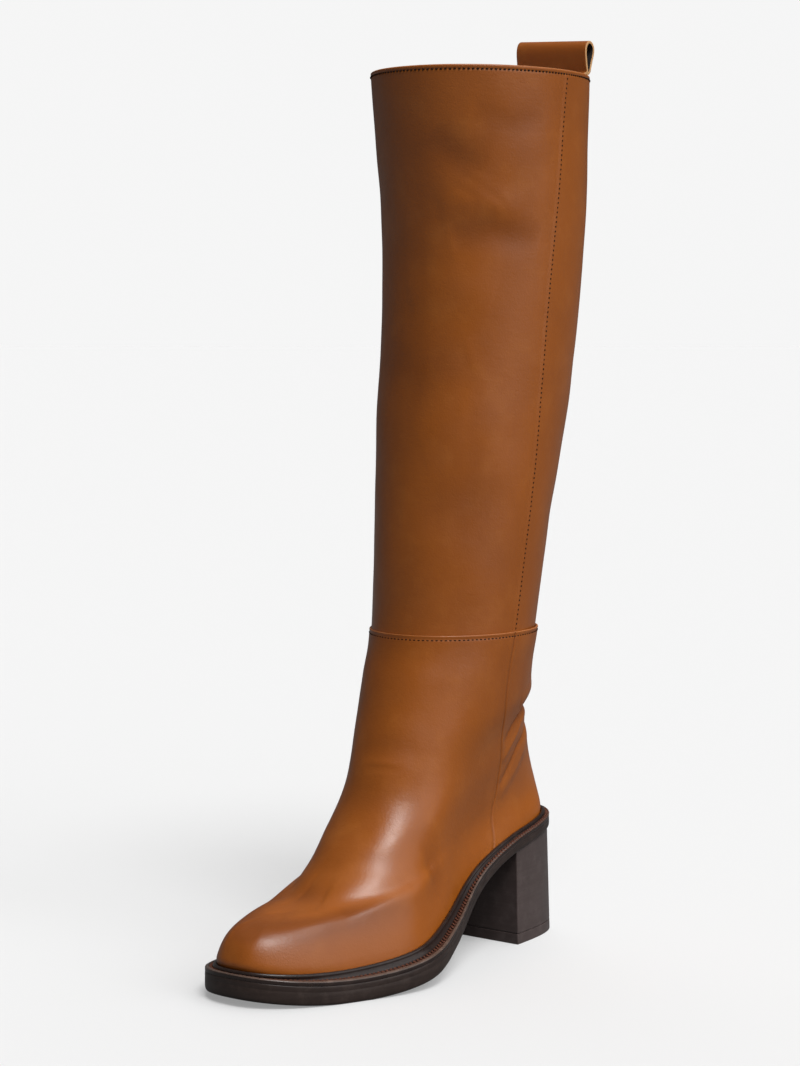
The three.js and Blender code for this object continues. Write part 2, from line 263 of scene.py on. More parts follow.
    def edge_reach(self, along: Array) -> Array:
        """How far the sole's edge stands out from the feather line."""
        share = np.clip(self.forepart.at(along), 0, 1)
        return self.edge_seat + (self.edge_front - self.edge_seat) * share

    def tread_up(self, along: Array) -> Array:
        """Height of the outsole's underside.

        Args:
            along: Places along the shoe.

        Returns:
            Millimetres over the ground.
        """
        share = np.clip(self.forepart.at(along), 0, 1)
        thickness = self.outsole_seat + (self.outsole_front - self.outsole_seat) * share
        return np.maximum(0, self.bed.at(along) - thickness)

    def on_bed(self, places: Array, up: Array | float) -> Array:
        """The same places at a height over the bed below or above them."""
        return np.stack([places[..., 0], places[..., 1], self.bed.at(-places[..., 1]) + up], -1)

    def seam_side(self, contour: Array, turn: Array) -> Array:
        """Millimetres behind the nearer side seam, less than zero in front of it.

        Args:
            contour: Contour numbers.
            turn: Turns round the boot.

        Returns:
            The distances round the boot.
        """
        mirrored = np.minimum(np.mod(turn, 1.0), 1 - np.mod(turn, 1.0))
        seam = self.side_seam.at(contour)
        return (mirrored - seam) * self.girth_step(contour, seam)


def unit(vectors: Array) -> Array:
    """The same directions with length one."""
    return vectors / np.maximum(np.linalg.norm(vectors, axis=-1, keepdims=True), 1e-12)


LAST = Last()


def frame_shift() -> Array:
    """Where the shoe's own measure starts in the part's frame, in metres.

    Returns:
        Its x, y and z.
    """
    shaft_low, shaft_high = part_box("shaft")
    breast_low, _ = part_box("heel_block")
    return np.array([(shaft_low.x + shaft_high.x) / 2, breast_low.y + HEEL_BREAST * MM, 0.0])


SHIFT = frame_shift()


def placed(points: Array) -> Array:
    """Millimetres in the shoe's own measure as metres in the part's frame."""
    return points * MM + SHIFT


# ---- creases -------------------------------------------------------------------------------------
@dataclass(frozen=True)
class Crease:
    """A soft trough (depth less than zero) or ridge laid on the face from place to place."""

    places: tuple[tuple[float, float], ...]  # contour, turn
    depth: float
    width: float
    fade: float = 0.5  # how gently it dies out at its ends

    def mirrored(self, share: float) -> "Crease":
        """The same crease on the other side of the boot, with a share of its depth."""
        places = tuple((contour, 1 - turn) for contour, turn in self.places)
        return Crease(places, self.depth * share, self.width, self.fade)

    def relief(self, points: Array) -> Array:
        """How far it moves the face at each point.

        Args:
            points: Places on the face before any crease.

        Returns:
            Millimetres outwards.
        """
        spread = np.linspace(0, len(self.places) - 1, 8 * (len(self.places) - 1) + 1)
        contour = np.interp(spread, range(len(self.places)), [c for c, _ in self.places])
        turn = np.interp(spread, range(len(self.places)), [t for _, t in self.places])
        path = LAST.point(contour, turn)
        best = np.full(len(points), 1e9)
        share = np.zeros(len(points))
        for i, (a, b) in enumerate(zip(path[:-1], path[1:])):
            leg = b - a
            t = np.clip((points - a) @ leg / (leg @ leg), 0, 1)
            gap = ((points - a - t[:, None] * leg) ** 2).sum(1)
            nearer = gap < best
            best = np.where(nearer, gap, best)
            share = np.where(nearer, (i + t) / (len(path) - 1), share)
        ends = np.clip(np.sin(np.pi * share), 0, 1) ** self.fade
        return self.depth * np.exp(-best / self.width**2) * ends


@dataclass(frozen=True)
class Undulation:
    """Slow unevenness of leather that has been lasted and worn a little."""

    height: float
    size: float
    seed: float

    def relief(self, points: Array) -> Array:
        """Millimetres outwards at each point."""
        at = points / self.size + self.seed
        return self.height * np.array([noise.noise(Vector(place)) for place in at])


@dataclass(frozen=True)
class Relief:
    """Everything that moves a leather face in or out from the last."""

    creases: tuple[Crease, ...]
    undulations: tuple[Undulation, ...]

    def at(self, points: Array) -> Array:
        """Millimetres outwards at each point."""
        total = np.zeros(len(points))
        for part in (*self.creases, *self.undulations):
            total += part.relief(points)
        return total


# ---- mesh bench ----------------------------------------------------------------------------------
def lay(columns: int, rows: int, shape: Shape) -> bmesh.types.BMesh:
    """Lays a grid on a shape and welds it where it meets itself.

    Args:
        columns: Faces along the first share.
        rows: Faces along the second share.
        shape: Places in the shoe's own measure for two arrays of shares from 0 to 1, with how much
        painted shade each takes as a fourth number where that matters.

    Returns:
        The mesh, with the two shares as its UV map.
    """
    bm = bmesh.new()
    bm.loops.layers.uv.new("UVMap")
    bmesh.ops.create_grid(bm, x_segments=columns, y_segments=rows, size=0.5, calc_uvs=True)
    flat = np.array([vert.co[:2] for vert in bm.verts])
    low, high = flat.min(0), flat.max(0)
    share = (flat - low) / (high - low)
    made = shape(share[:, 0], share[:, 1])
    # each point keeps its share of painted shade, which the leather reads to darken troughs
    trough_shade = bm.verts.layers.float.new("trough_shade")
    depths = made[:, 3] if made.shape[1] > 3 else np.zeros(len(made))
    for vert, place, depth in zip(bm.verts, placed(made[:, :3]), depths):
        vert.co = place
        vert[trough_shade] = depth
    bmesh.ops.remove_doubles(bm, verts=bm.verts, dist=WELD)
    bmesh.ops.recalc_face_normals(bm, faces=bm.faces)
    return bm


def join(bm: bmesh.types.BMesh, part: bmesh.types.BMesh) -> None:
    """Adds a part's mesh to another and frees the part.

    Args:
        bm: The mesh to add to.
        part: The mesh that is added.
    """
    mesh = bpy.data.meshes.new("part")
    part.to_mesh(mesh)
    part.free()
    bm.from_mesh(mesh)
    bpy.data.meshes.remove(mesh)


def paint_rows(bm: bmesh.types.BMesh, finish_at: Callable[[float], int]) -> None:
    """Gives each face the finish of its row.

    Args:
        bm: A mesh made by lay.
        finish_at: The finish's number for a second share from 0 to 1.
    """
    uv = bm.loops.layers.uv.active
    for face in bm.faces:
        middle = sum(loop[uv].uv.y for loop in face.loops) / len(face.loops)
        face.material_index = finish_at(middle)


def bring_out(
    name: str,
    bm: bmesh.types.BMesh,
    finishes: Sequence[bpy.types.Material],
    slot: str,
    stands_for: Sequence[str] = (),
    smooth: bool = True,
) -> bpy.types.Object:
    """slot: The record's material slot; not used.
        stands_for: CAD nodes that it replaces.
        smooth: Whether its faces are shaded smooth.

    Returns:
        The object, riding on the boot's one body.
    """
    mesh = bpy.data.meshes.new(name)
    bm.to_mesh(mesh)
    bm.free()
    for finish in finishes:
        mesh.materials.append(finish)
    mesh.polygons.foreach_set("use_smooth", [smooth] * len(mesh.polygons))
    piece = bpy.data.objects.new(name, mesh)
    bpy.context.scene.collection.objects.link(piece)
    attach(piece, "root")
    if stands_for:
        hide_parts(*stands_for)
    log.info("%s: %d faces", name, len(mesh.polygons))
    return piece


def soften_edges(piece: bpy.types.Object, width: float, segments: int = 3, angle: float = 40.0) -> None:
    """Rounds a piece's sharp edges.

    Args:
        piece: The piece.
        width: Millimetres.
        segments: Faces across each rounding.
        angle: Degrees over which an edge counts as sharp.
    """
    bevel = piece.modifiers.new("edges", "BEVEL")
    bevel.width = width * MM
    bevel.segments = segments
    bevel.limit_method = "ANGLE"
    bevel.angle_limit = math.radians(angle)
    bevel.use_clamp_overlap = True


# ---- finishes ------------------------------------------------------------------------------------
class Bench:
    """Places and wires the nodes of one tree."""

    def __init__(self, tree: bpy.types.NodeTree) -> None:
        """Keeps the tree to work on."""
        self.tree = tree

    def put(self, kind: str, wires: Wires | None = None, **settings: object) -> bpy.types.Node:
        """Adds a node.

        Args:
            kind: The node's type.
            wires: What each input takes: another node's socket or a plain value.
            settings: The node's own properties.

        Returns:
            The node.
        """
        node = self.tree.nodes.new(kind)
        for key, value in settings.items():
            setattr(node, key, value)
        for key, value in (wires or {}).items():
            if isinstance(value, Socket):
                self.tree.links.new(value, node.inputs[key])
            else:
                node.inputs[key].default_value = value
        return node

    def effect(self, tree: bpy.types.NodeTree, values: Wires) -> bpy.types.Node:
        """A shared effect placed with its own values."""
        return self.put("ShaderNodeGroup", values, node_tree=tree)

    def sum(self, kind: str, first: object, second: object) -> Socket:
        """A Math node's result for two inputs."""
        return self.put("ShaderNodeMath", {0: first, 1: second}, operation=kind).outputs[0]

    def blend(self, share: object, first: object, second: object) -> Socket:
        """Two colours mixed by a share."""
        return self.put("ShaderNodeMix", {0: share, 6: first, 7: second}, data_type="RGBA").outputs[2]

    def span(self, value: object, low: float, high: float, to_low: float, to_high: float) -> Socket:
        """A value brought from one span to another, held at its ends."""
        wires = {0: value, 1: low, 2: high, 3: to_low, 4: to_high}
        return self.put("ShaderNodeMapRange", wires).outputs[0]

    def place(self, stretch: Triple = (1, 1, 1)) -> Socket:
        """Object coordinates, stretched along each axis."""
        where = self.put("ShaderNodeTexCoord").outputs["Object"]
        return self.put("ShaderNodeMapping", {"Vector": where, "Scale": stretch}).outputs[0]

    def noise(self, where: object, scale: object, detail: float = 4, rough: float = 0.55) -> Socket:
        """A noise texture's value."""
        wires = {"Vector": where, "Scale": scale, "Detail": detail, "Roughness": rough}
        return self.put("ShaderNodeTexNoise", wires).outputs[0]


Colour = tuple[float, float, float, float]


def colour(red: int, green: int, blue: int) -> Colour:
    """A colour as it is seen, 0 to 255, made linear."""

    def linear(value: float) -> float:
        """One channel made linear."""
        return value / 12.92 if value <= 0.04045 else ((value + 0.055) / 1.055) ** 2.4

    return (linear(red / 255), linear(green / 255), linear(blue / 255), 1.0)


class Effects:
    """Shader node groups that several finishes share."""

    def __init__(self) -> None:
        """Builds each group once."""
        self.grain = self._grain()
        self.patina = self._patina()
        self.scuffs = self._scuffs()

    @staticmethod
    def _group(name: str, inputs: Mapping[str, tuple[str, object]], outputs: Mapping[str, str]) -> Bench:
        """Starts a group with named sockets.

        Args:
            name: The group's name.
            inputs: Kind and first value of each input.
            outputs: Kind of each output.

        Returns:
            A bench on its tree.
        """
        tree = bpy.data.node_groups.new(name, "ShaderNodeTree")
        for key, (kind, value) in inputs.items():
            socket = tree.interface.new_socket(name=key, in_out="INPUT", socket_type=f"NodeSocket{kind}")
            socket.default_value = value
        for key, kind in outputs.items():
            tree.interface.new_socket(name=key, in_out="OUTPUT", socket_type=f"NodeSocket{kind}")
        return Bench(tree)

    def _grain(self) -> bpy.types.NodeTree:
        """Fine leather grain: pebbles, pores and short creases between them.

        Returns:
            The group.
        """
        inputs = {"Scale": ("Float", 900.0), "Pores": ("Float", 0.5)}
        bench = self._group("leather grain", inputs, {"Height": "Float"})
        scale, pore_share = bench.put("NodeGroupInput").outputs[:2]
        where = bench.place()
        bend = bench.put("ShaderNodeTexNoise", {"Vector": where, "Scale": 260.0, "Detail": 2.0}).outputs[1]
        bent = bench.put("ShaderNodeMixRGB", {0: 0.004, 1: where, 2: bend}, blend_type="ADD").outputs[0]
        wires = {"Vector": bent, "Scale": scale, "Randomness": 1.0}
        pebble = bench.put("ShaderNodeTexVoronoi", wires, feature="SMOOTH_F1").outputs[0]
        fine = bench.noise(bent, bench.sum("MULTIPLY", scale, 1.7), 3)
        dots = bench.noise(where, bench.sum("MULTIPLY", scale, 0.9), 1)
        pores = bench.span(dots, 0.62, 0.72, 0, 1)
        base = bench.sum("SUBTRACT", bench.sum("MULTIPLY", fine, 0.6), bench.sum("MULTIPLY", pebble, 0.8))
        height = bench.sum("SUBTRACT", base, bench.sum("MULTIPLY", pores, pore_share))
        bench.put("NodeGroupOutput", {0: height})
        return bench.tree

    def _patina(self) -> bpy.types.NodeTree:
        """Uneven dye: wide clouds, smaller mottling and a little streaking up and down.

        Returns:
            The group.
        """
        inputs = {
            "Base": ("Color", (0.5, 0.5, 0.5, 1)),
            "Deep": ("Color", (0.2, 0.2, 0.2, 1)),
            "Light": ("Color", (0.8, 0.8, 0.8, 1)),
            "Scale": ("Float", 20.0),
            "Strength": ("Float", 0.5),
        }
        bench = self._group("patina", inputs, {"Color": "Color", "Cloud": "Float"})
        given = bench.put("NodeGroupInput").outputs
        where = bench.place()
        cloud = bench.noise(where, given["Scale"], 5, 0.6)
        mottle = bench.noise(where, bench.sum("MULTIPLY", given["Scale"], 6.0), 4, 0.65)
        streak = bench.noise(bench.place((1, 1, 0.12)), bench.sum("MULTIPLY", given["Scale"], 4.0), 3)
        deep = bench.sum("MULTIPLY", bench.span(cloud, 0.52, 0.3, 0, 1), given["Strength"])
        light = bench.sum("MULTIPLY", bench.span(mottle, 0.5, 0.72, 0, 1), given["Strength"])
        first = bench.blend(deep, given["Base"], given["Deep"])
        second = bench.blend(light, first, given["Light"])
        streaked = bench.sum("MULTIPLY", bench.span(streak, 0.5, 0.3, 0, 0.45), given["Strength"])
        bench.put("NodeGroupOutput", {0: bench.blend(streaked, second, given["Deep"]), 1: cloud})
        return bench.tree

    def _scuffs(self) -> bpy.types.NodeTree:
        """Hair-fine rubs and scratches that lie mostly across.

        Returns:
            The group.
        """
        inputs = {"Scale": ("Float", 60.0), "Amount": ("Float", 0.3)}
        bench = self._group("scuffs", inputs, {"Mask": "Float"})
        given = bench.put("NodeGroupInput").outputs
        across = bench.noise(bench.place((1, 1, 14)), given["Scale"], 5, 0.7)
        patch = bench.noise(bench.place(), bench.sum("MULTIPLY", given["Scale"], 0.35), 2)
        line = bench.sum("MULTIPLY", bench.span(across, 0.6, 0.74, 0, 1), bench.span(patch, 0.45, 0.6, 0, 1))
        bench.put("NodeGroupOutput", {0: bench.sum("MULTIPLY", line, given["Amount"])})
        return bench.tree


@dataclass(frozen=True)
class Finish:
    """What every finish has: a name and the way to start its material."""

    name: str

    def start(self) -> tuple[bpy.types.Material, Bench, bpy.types.Node]:
        """Starts a node material.

        Returns:
            The material, a bench on its tree, and its shader.
        """
        material = bpy.data.materials.new(self.name)
        material.use_nodes = True
        bench = Bench(material.node_tree)
        return material, bench, material.node_tree.nodes["Principled BSDF"]


@dataclass(frozen=True)
class Leather(Finish):
    """Smooth dyed leather with a satin polish."""

    base: Colour
    deep: Colour
    light: Colour
    roughness: float = 0.36
    grain_scale: float = 950.0
    grain_depth: float = 0.055  # millimetres
    pores: float = 0.35
    wrinkle_scale: float = 150.0
    wrinkle_share: float = 1.6  # of the grain's height
    polish_scale: float = 45.0
    cloud_scale: float = 9.0
    cloud_strength: float = 0.3
    rub_scale: float = 55.0
    rub_amount: float = 0.22
    trough_shade_tint: float = 0.65  # how far the deepest troughs are painted dark, as painted shade
    sheen: float = 0.0

    def make(self, effects: Effects) -> bpy.types.Material:
        """Builds the material.

        Args:
            effects: The shared shader groups.

        Returns:
            The material.
        """
        material, bench, shader = self.start()
        tones = {"Base": self.base, "Deep": self.deep, "Light": self.light}
        clouds = {"Scale": self.cloud_scale, "Strength": self.cloud_strength}
        dye = bench.effect(effects.patina, {**tones, **clouds})
        rubs = bench.effect(effects.scuffs, {"Scale": self.rub_scale, "Amount": self.rub_amount})
        # painted shade: crease troughs and closed seam grooves are tinted towards the deep colour
        trough_shade = bench.put("ShaderNodeAttribute", attribute_name="trough_shade").outputs["Fac"]
        tinted = bench.blend(bench.span(trough_shade, 0, 1, 0, self.trough_shade_tint), dye.outputs["Color"], self.deep)
        worn = bench.blend(rubs.outputs["Mask"], tinted, self.light)
        bench.tree.links.new(worn, shader.inputs["Base Color"])
        rough = bench.noise(bench.place(), self.polish_scale, 4)
        uneven = bench.span(rough, 0.3, 0.7, self.roughness - 0.05, self.roughness + 0.07)
        bench.tree.links.new(uneven, shader.inputs["Roughness"])
        grain = bench.effect(effects.grain, {"Scale": self.grain_scale, "Pores": self.pores})
        wrinkle = bench.noise(bench.place((1, 1, 2.2)), self.wrinkle_scale, 5, 0.6)
        height = bench.sum("ADD", grain.outputs[0], bench.sum("MULTIPLY", wrinkle, self.wrinkle_share))
        wires = {"Height": height, "Strength": 1.0, "Distance": self.grain_depth * MM}
        bump = bench.put("ShaderNodeBump", wires)
        bench.tree.links.new(bump.outputs[0], shader.inputs["Normal"])
        shader.inputs["Specular IOR Level"].default_value = 0.6
        shader.inputs["Sheen Weight"].default_value = self.sheen
        return material


@dataclass(frozen=True)
class Rubber(Finish):
    """Dark moulded rubber or polished stacked heel, with fine lines round it."""

    base: Colour
    deep: Colour
    light: Colour
    roughness: float
    coat: float = 0.0
    line_scale: float = 0.0
    line_depth: float = 0.0
    grain_scale: float = 1400.0
    grain_depth: float = 0.03
    polish_scale: float = 60.0
    cloud_scale: float = 30.0
    cloud_strength: float = 0.5
    rub_scale: float = 70.0
    rub_amount: float = 0.35

    def make(self, effects: Effects) -> bpy.types.Material:
        """Builds the material.

        Args:
            effects: The shared shader groups.

        Returns:
            The material.
        """
        material, bench, shader = self.start()
        tones = {"Base": self.base, "Deep": self.deep, "Light": self.light}
        clouds = {"Scale": self.cloud_scale, "Strength": self.cloud_strength}
        dye = bench.effect(effects.patina, {**tones, **clouds})
        rubs = bench.effect(effects.scuffs, {"Scale": self.rub_scale, "Amount": self.rub_amount})
        tint = bench.blend(rubs.outputs["Mask"], dye.outputs["Color"], self.light)
        fine = bench.noise(bench.place(), self.grain_scale, 3)
        height = bench.sum("MULTIPLY", fine, self.grain_depth)
        if self.line_scale:
            layer = bench.noise(bench.place((0.02, 0.02, 1)), self.line_scale, 3, 0.7)
            height = bench.sum("ADD", height, bench.sum("MULTIPLY", layer, self.line_depth))
            tint = bench.blend(bench.span(layer, 0.45, 0.7, 0, 0.22), tint, self.light)
        bench.tree.links.new(tint, shader.inputs["Base Color"])
        uneven = bench.noise(bench.place(), self.polish_scale, 4)
        spread = bench.span(uneven, 0.3, 0.7, self.roughness - 0.06, self.roughness + 0.08)
        bench.tree.links.new(spread, shader.inputs["Roughness"])
        bump = bench.put("ShaderNodeBump", {"Height": height, "Strength": 1.0, "Distance": MM})
        bench.tree.links.new(bump.outputs[0], shader.inputs["Normal"])
        shader.inputs["Coat Weight"].default_value = self.coat
        shader.inputs["Coat Roughness"].default_value = 0.2
        return material


@dataclass(frozen=True)
class Thread(Finish):
    """Waxed sewing thread with its twist."""

    base: Colour
    dark: Colour

    def make(self) -> bpy.types.Material:
        """Builds the material.

        Returns:
            The material.
        """
        material, bench, shader = self.start()
        twist = bench.noise(bench.place(), 2600.0, 2)
        shade = bench.blend(bench.span(twist, 0.35, 0.65, 0, 1), self.base, self.dark)
        bench.tree.links.new(shade, shader.inputs["Base Color"])
        bump = bench.put("ShaderNodeBump", {"Height": twist, "Strength": 0.8, "Distance": 0.1 * MM})
        bench.tree.links.new(bump.outputs[0], shader.inputs["Normal"])
        shader.inputs["Roughness"].default_value = 0.7
        shader.inputs["Specular IOR Level"].default_value = 0.25
        return material


@dataclass
class Finishes:
    """Every material of the boot, built once."""

    effects: Effects

    def __post_init__(self) -> None:
        """Builds them."""
        cognac = {"base": colour(150, 80, 18), "deep": colour(108, 52, 8), "light": colour(170, 100, 38)}
        self.upper = Leather("upper_leather", **cognac).make(self.effects)
        self.loop = Leather("loop_leather", **cognac, roughness=0.42).make(self.effects)
        # painted highlight: the folded top edge is painted lighter than the leather, for the light its
        # rounded rim catches
        self.fold_highlight = Leather(
            "folded_edge_painted_highlight", colour(166, 102, 54), colour(128, 70, 32), colour(184, 124, 78), roughness=0.45
        ).make(self.effects)
        self.raw_edge = Leather(
            "raw_edge", colour(196, 148, 98), colour(158, 106, 62), colour(216, 176, 128), roughness=0.7
        ).make(self.effects)
        # painted shade: near black, for the shade that falls on the pull loop's back face inside the loop
        self.shaded_underside = Leather(
            "loop_underside_painted_shade", colour(34, 28, 26), colour(20, 16, 15), colour(52, 44, 40), roughness=0.8
        ).make(self.effects)
        self.lining = Leather(
            "lining_leather", colour(203, 162, 116), colour(170, 126, 84), colour(222, 186, 144),
            roughness=0.62, cloud_strength=0.35, sheen=0.1,
        ).make(self.effects)
        self.welt = Rubber(
            "welt_rubber", colour(38, 27, 24), colour(22, 16, 14), colour(60, 46, 40),
            roughness=0.3, coat=0.12,
        ).make(self.effects)
        # painted highlight: the welt's outer lip is painted lighter, for the light its rounding catches
        self.lip_highlight = Rubber(
            "lip_painted_highlight", colour(84, 68, 60), colour(58, 46, 40), colour(122, 102, 92), roughness=0.3, coat=0.3
        ).make(self.effects)
        self.sole = Rubber(
            "sole_rubber", colour(44, 33, 29), colour(28, 21, 19), colour(66, 54, 49),
            roughness=0.4, line_scale=520.0, line_depth=0.02,
        ).make(self.effects)
        self.heel = Rubber(
            "heel_stack", colour(72, 61, 59), colour(56, 47, 45), colour(94, 83, 81),
            roughness=0.36, line_scale=700.0, line_depth=0.02,
        ).make(self.effects)
        self.tread = Rubber(
            "tread_rubber", colour(38, 32, 30), colour(24, 20, 19), colour(66, 58, 54), roughness=0.6
        ).make(self.effects)
        self.seam_thread = Thread("seam_thread", colour(48, 22, 10), colour(26, 11, 5)).make()
        self.welt_thread = Thread("welt_thread", colour(104, 60, 42), colour(54, 30, 22)).make()


# ---- leather walls -------------------------------------------------------------------------------
@dataclass(frozen=True)
class WallRow:
    """One row of points round a wall: where it is on the last, how far out, how much higher."""

    contour: float
    offset: float
    rise: float


@dataclass
class LeatherWall:
    """A leather wall with its lining, rolled round the last and closed over its top edge."""

    name: str
    slot: str
    node: str
    bottom: float  # contour
    top: float  # contour
    face: float  # millimetres out from the last
    thickness: float
    rows: int
    columns: int
    relief: Relief
    seam_height: float  # the step or ridge of the side seams
    lapped: bool  # whether the back panel lies over the front one or meets it edge to edge
    edge_fine: float = 5.0  # millimetres under the top edge with close rows
    gather: float = 0.5  # how much closer the columns stand at the side seams
    edge_rows: int = 12  # the close rows
    rim_steps: int = 7
    inner_rows: int = 34
    stitch_drop: float = 2.0  # millimetres from the top edge to its stitching
    trough_shade_full: float = 1.6  # a trough this deep takes the full painted shade

    def profile(self) -> list[WallRow]:
        """The wall's rows, up the outside, over the edge and down the inside to the first again.

        Returns:
            The rows in order.
        """
        fine = self.edge_fine / LAST.spacing(self.top)
        spread = np.linspace(0, 1, self.rows + 1)
        stations = np.linspace(self.bottom, self.top - fine, 200)
        lengths = np.linalg.norm(np.diff(LAST.point(stations, 0.1), axis=0), axis=1)
        travelled = np.concatenate([[0], np.cumsum(lengths)]) / lengths.sum()
        outer = list(np.interp(spread, travelled, stations))
        outer += list(np.linspace(self.top - fine, self.top, self.edge_rows + 1)[1:])
        rows = [WallRow(contour, self.face, 0) for contour in outer]
        half = self.thickness / 2
        for step in range(1, self.rim_steps):
            angle = math.pi * step / self.rim_steps
            offset = self.face - half + half * math.cos(angle)
            rows.append(WallRow(self.top, offset, half * 0.8 * math.sin(angle)))
        for contour in np.linspace(self.top, self.bottom, self.inner_rows):
            rows.append(WallRow(contour, self.face - self.thickness, 0))
        rows.append(rows[0])
        return rows

    def turn_at(self, column: Array, contour: Array) -> Array:
        """The turn of a column share, so that columns run along the side seams and gather there.

        Args:
            column: Shares round the wall.
            contour: Contour numbers.

        Returns:
            Turns round the boot.
        """
        gathered = column - self.gather / (4 * math.pi) * np.sin(4 * math.pi * (column - 0.25))
        seam = LAST.side_seam.at(contour)
        mirrored = np.minimum(gathered, 1 - gathered)
        front = mirrored / 0.25 * seam
        behind = 0.5 - (0.5 - mirrored) / 0.25 * (0.5 - seam)
        turn = np.where(mirrored < 0.25, front, behind)
        return np.where(gathered > 0.5, 1 - turn, turn)

    def seam_relief(self, contour: Array, turn: Array) -> Array:
        """The side seams' own height over the leather.

        Args:
            contour: Contour numbers.
            turn: Turns round the boot.

        Returns:
            Millimetres outwards.
        """
        behind = LAST.seam_side(contour, turn)
        if self.lapped:
            step = np.clip(behind / 1.6 + 0.5, 0, 1)
            return self.seam_height * step * np.exp(-np.maximum(behind - 3, 0) / 9)
        ridge = np.exp(-((np.abs(behind) - 1.6) ** 2) / 1.2**2)
        return self.seam_height * (0.3 * ridge - 1.5 * np.exp(-((behind / 0.6) ** 2)))

    def stitch_channel(self, up: Array) -> Array:
        """The shallow pull of the stitching under the top edge.

        Args:
            up: Heights of the points.

        Returns:
            Millimetres outwards.
        """
        top = LAST.column("front_up", np.array(self.top))
        drop = (top - up) - self.stitch_drop
        return -0.28 * np.exp(-((drop / 0.55) ** 2))

    def make(self, finishes: Sequence[bpy.types.Material]) -> bpy.types.Object:
        """Builds the wall.

        Args:
            finishes: Leather, folded edge painted lighter as a highlight, and lining.

        Returns:
            The piece.
        """
        rows = self.profile()
        last_row = len(rows) - 1
        contours = np.array([row.contour for row in rows])
        offsets = np.array([row.offset for row in rows])
        rises = np.array([row.rise for row in rows])
        rim_start = self.rows + self.edge_rows

        def shape(column: Array, share: Array) -> Array:
            """Places of the grid's points."""
            row = np.rint(share * last_row).astype(int)
            contour = contours[row]
            turn = self.turn_at(column, contour)
            base = LAST.point(contour, turn)
            moved = self.relief.at(base)
            # painted shade: the deeper a crease's trough, the darker the leather is painted; the closed
            # seams' groove is painted dark too
            trough_shade = np.clip(-moved / self.trough_shade_full, 0, 1)
            outside = row <= rim_start
            if not self.lapped:
                seam = np.exp(-((LAST.seam_side(contour, turn) / 0.55) ** 2))
                trough_shade = np.maximum(trough_shade, seam * outside)
            moved = moved + np.where(outside, self.seam_relief(contour, turn), 0)
            moved = moved + np.where(outside, self.stitch_channel(base[:, 2]), 0)
            places = LAST.face(contour, turn, offsets[row] + moved)
            places[:, 2] += rises[row]
            return np.column_stack([places, trough_shade])

        bm = lay(self.columns, last_row, shape)

        def finish_at(share: float) -> int:
            """The finish of a row."""
            row = share * last_row
            if row < rim_start + 1:
                return 0
            return 1 if row < rim_start + self.rim_steps else 2

        paint_rows(bm, finish_at)
        return bring_out(self.name, bm, finishes, self.slot, (self.node,))


FOOT_CREASES = (
    Crease(((5.05, 0.5), (5.12, 0.44), (5.2, 0.39), (5.1, 0.34)), -1.3, 5.0, 0.3),
    Crease(((5.15, 0.42), (5.2, 0.39), (5.2, 0.354), (4.95, 0.318), (4.55, 0.298)), -1.5, 2.2, 0.5),
    Crease(((4.75, 0.46), (4.8, 0.395), (4.7, 0.352), (4.25, 0.318), (3.9, 0.304)), 1.0, 2.6),
    Crease(((4.35, 0.44), (4.24, 0.4), (3.92, 0.346), (3.44, 0.326), (3.1, 0.314)), -1.2, 2.2),
    Crease(((3.95, 0.42), (3.5, 0.365), (3.0, 0.335), (2.6, 0.32)), 0.7, 3.6),
    Crease(((5.75, 0.5), (5.8, 0.43), (5.9, 0.37), (5.7, 0.32)), 1.1, 5.0, 0.35),
)
FOOT_BACK = tuple(crease.mirrored(0.85) for crease in FOOT_CREASES)
TOE_ROUNDING = (
    Crease(
        ((1.85, -0.03), (2.0, 0.04), (2.15, 0.1), (2.4, 0.146), (2.3, 0.2), (2.1, 0.245)),
        -2.7, 12.0, 0.5,
    ),
    Crease(((3.1, 0.03), (3.02, 0.085), (2.95, 0.13), (2.75, 0.185), (2.65, 0.21)), 2.7, 12.0, 0.6),
    Crease(((2.5, 0.02), (2.55, 0.07), (2.6, 0.1)), 1.2, 9.0, 0.6),
)
FOOT_SOFT = (
    *TOE_ROUNDING,
    *(crease.mirrored(0.7) for crease in TOE_ROUNDING),
    Crease(((2.95, -0.1), (3.12, -0.03), (3.15, 0.03)), -1.1, 8.0),
    Crease(((4.6, -0.1), (4.9, -0.02), (4.9, 0.06), (4.6, 0.13)), -0.5, 9.0),
    Crease(((5.3, -0.09), (5.45, 0.0), (5.4, 0.08), (5.1, 0.15)), 0.35, 8.0),
    Crease(((5.75, -0.06), (5.9, 0.02), (5.85, 0.09)), -0.4, 6.0),
    Crease(((3.3, -0.16), (3.6, -0.05), (3.6, 0.06), (3.3, 0.17)), -0.35, 8.0),
    Crease(((5.55, -0.03), (5.6, 0.02), (5.55, 0.06)), 0.22, 1.6),
    Crease(((5.45, -0.01), (5.5, 0.03), (5.44, 0.07)), -0.22, 1.4),
)
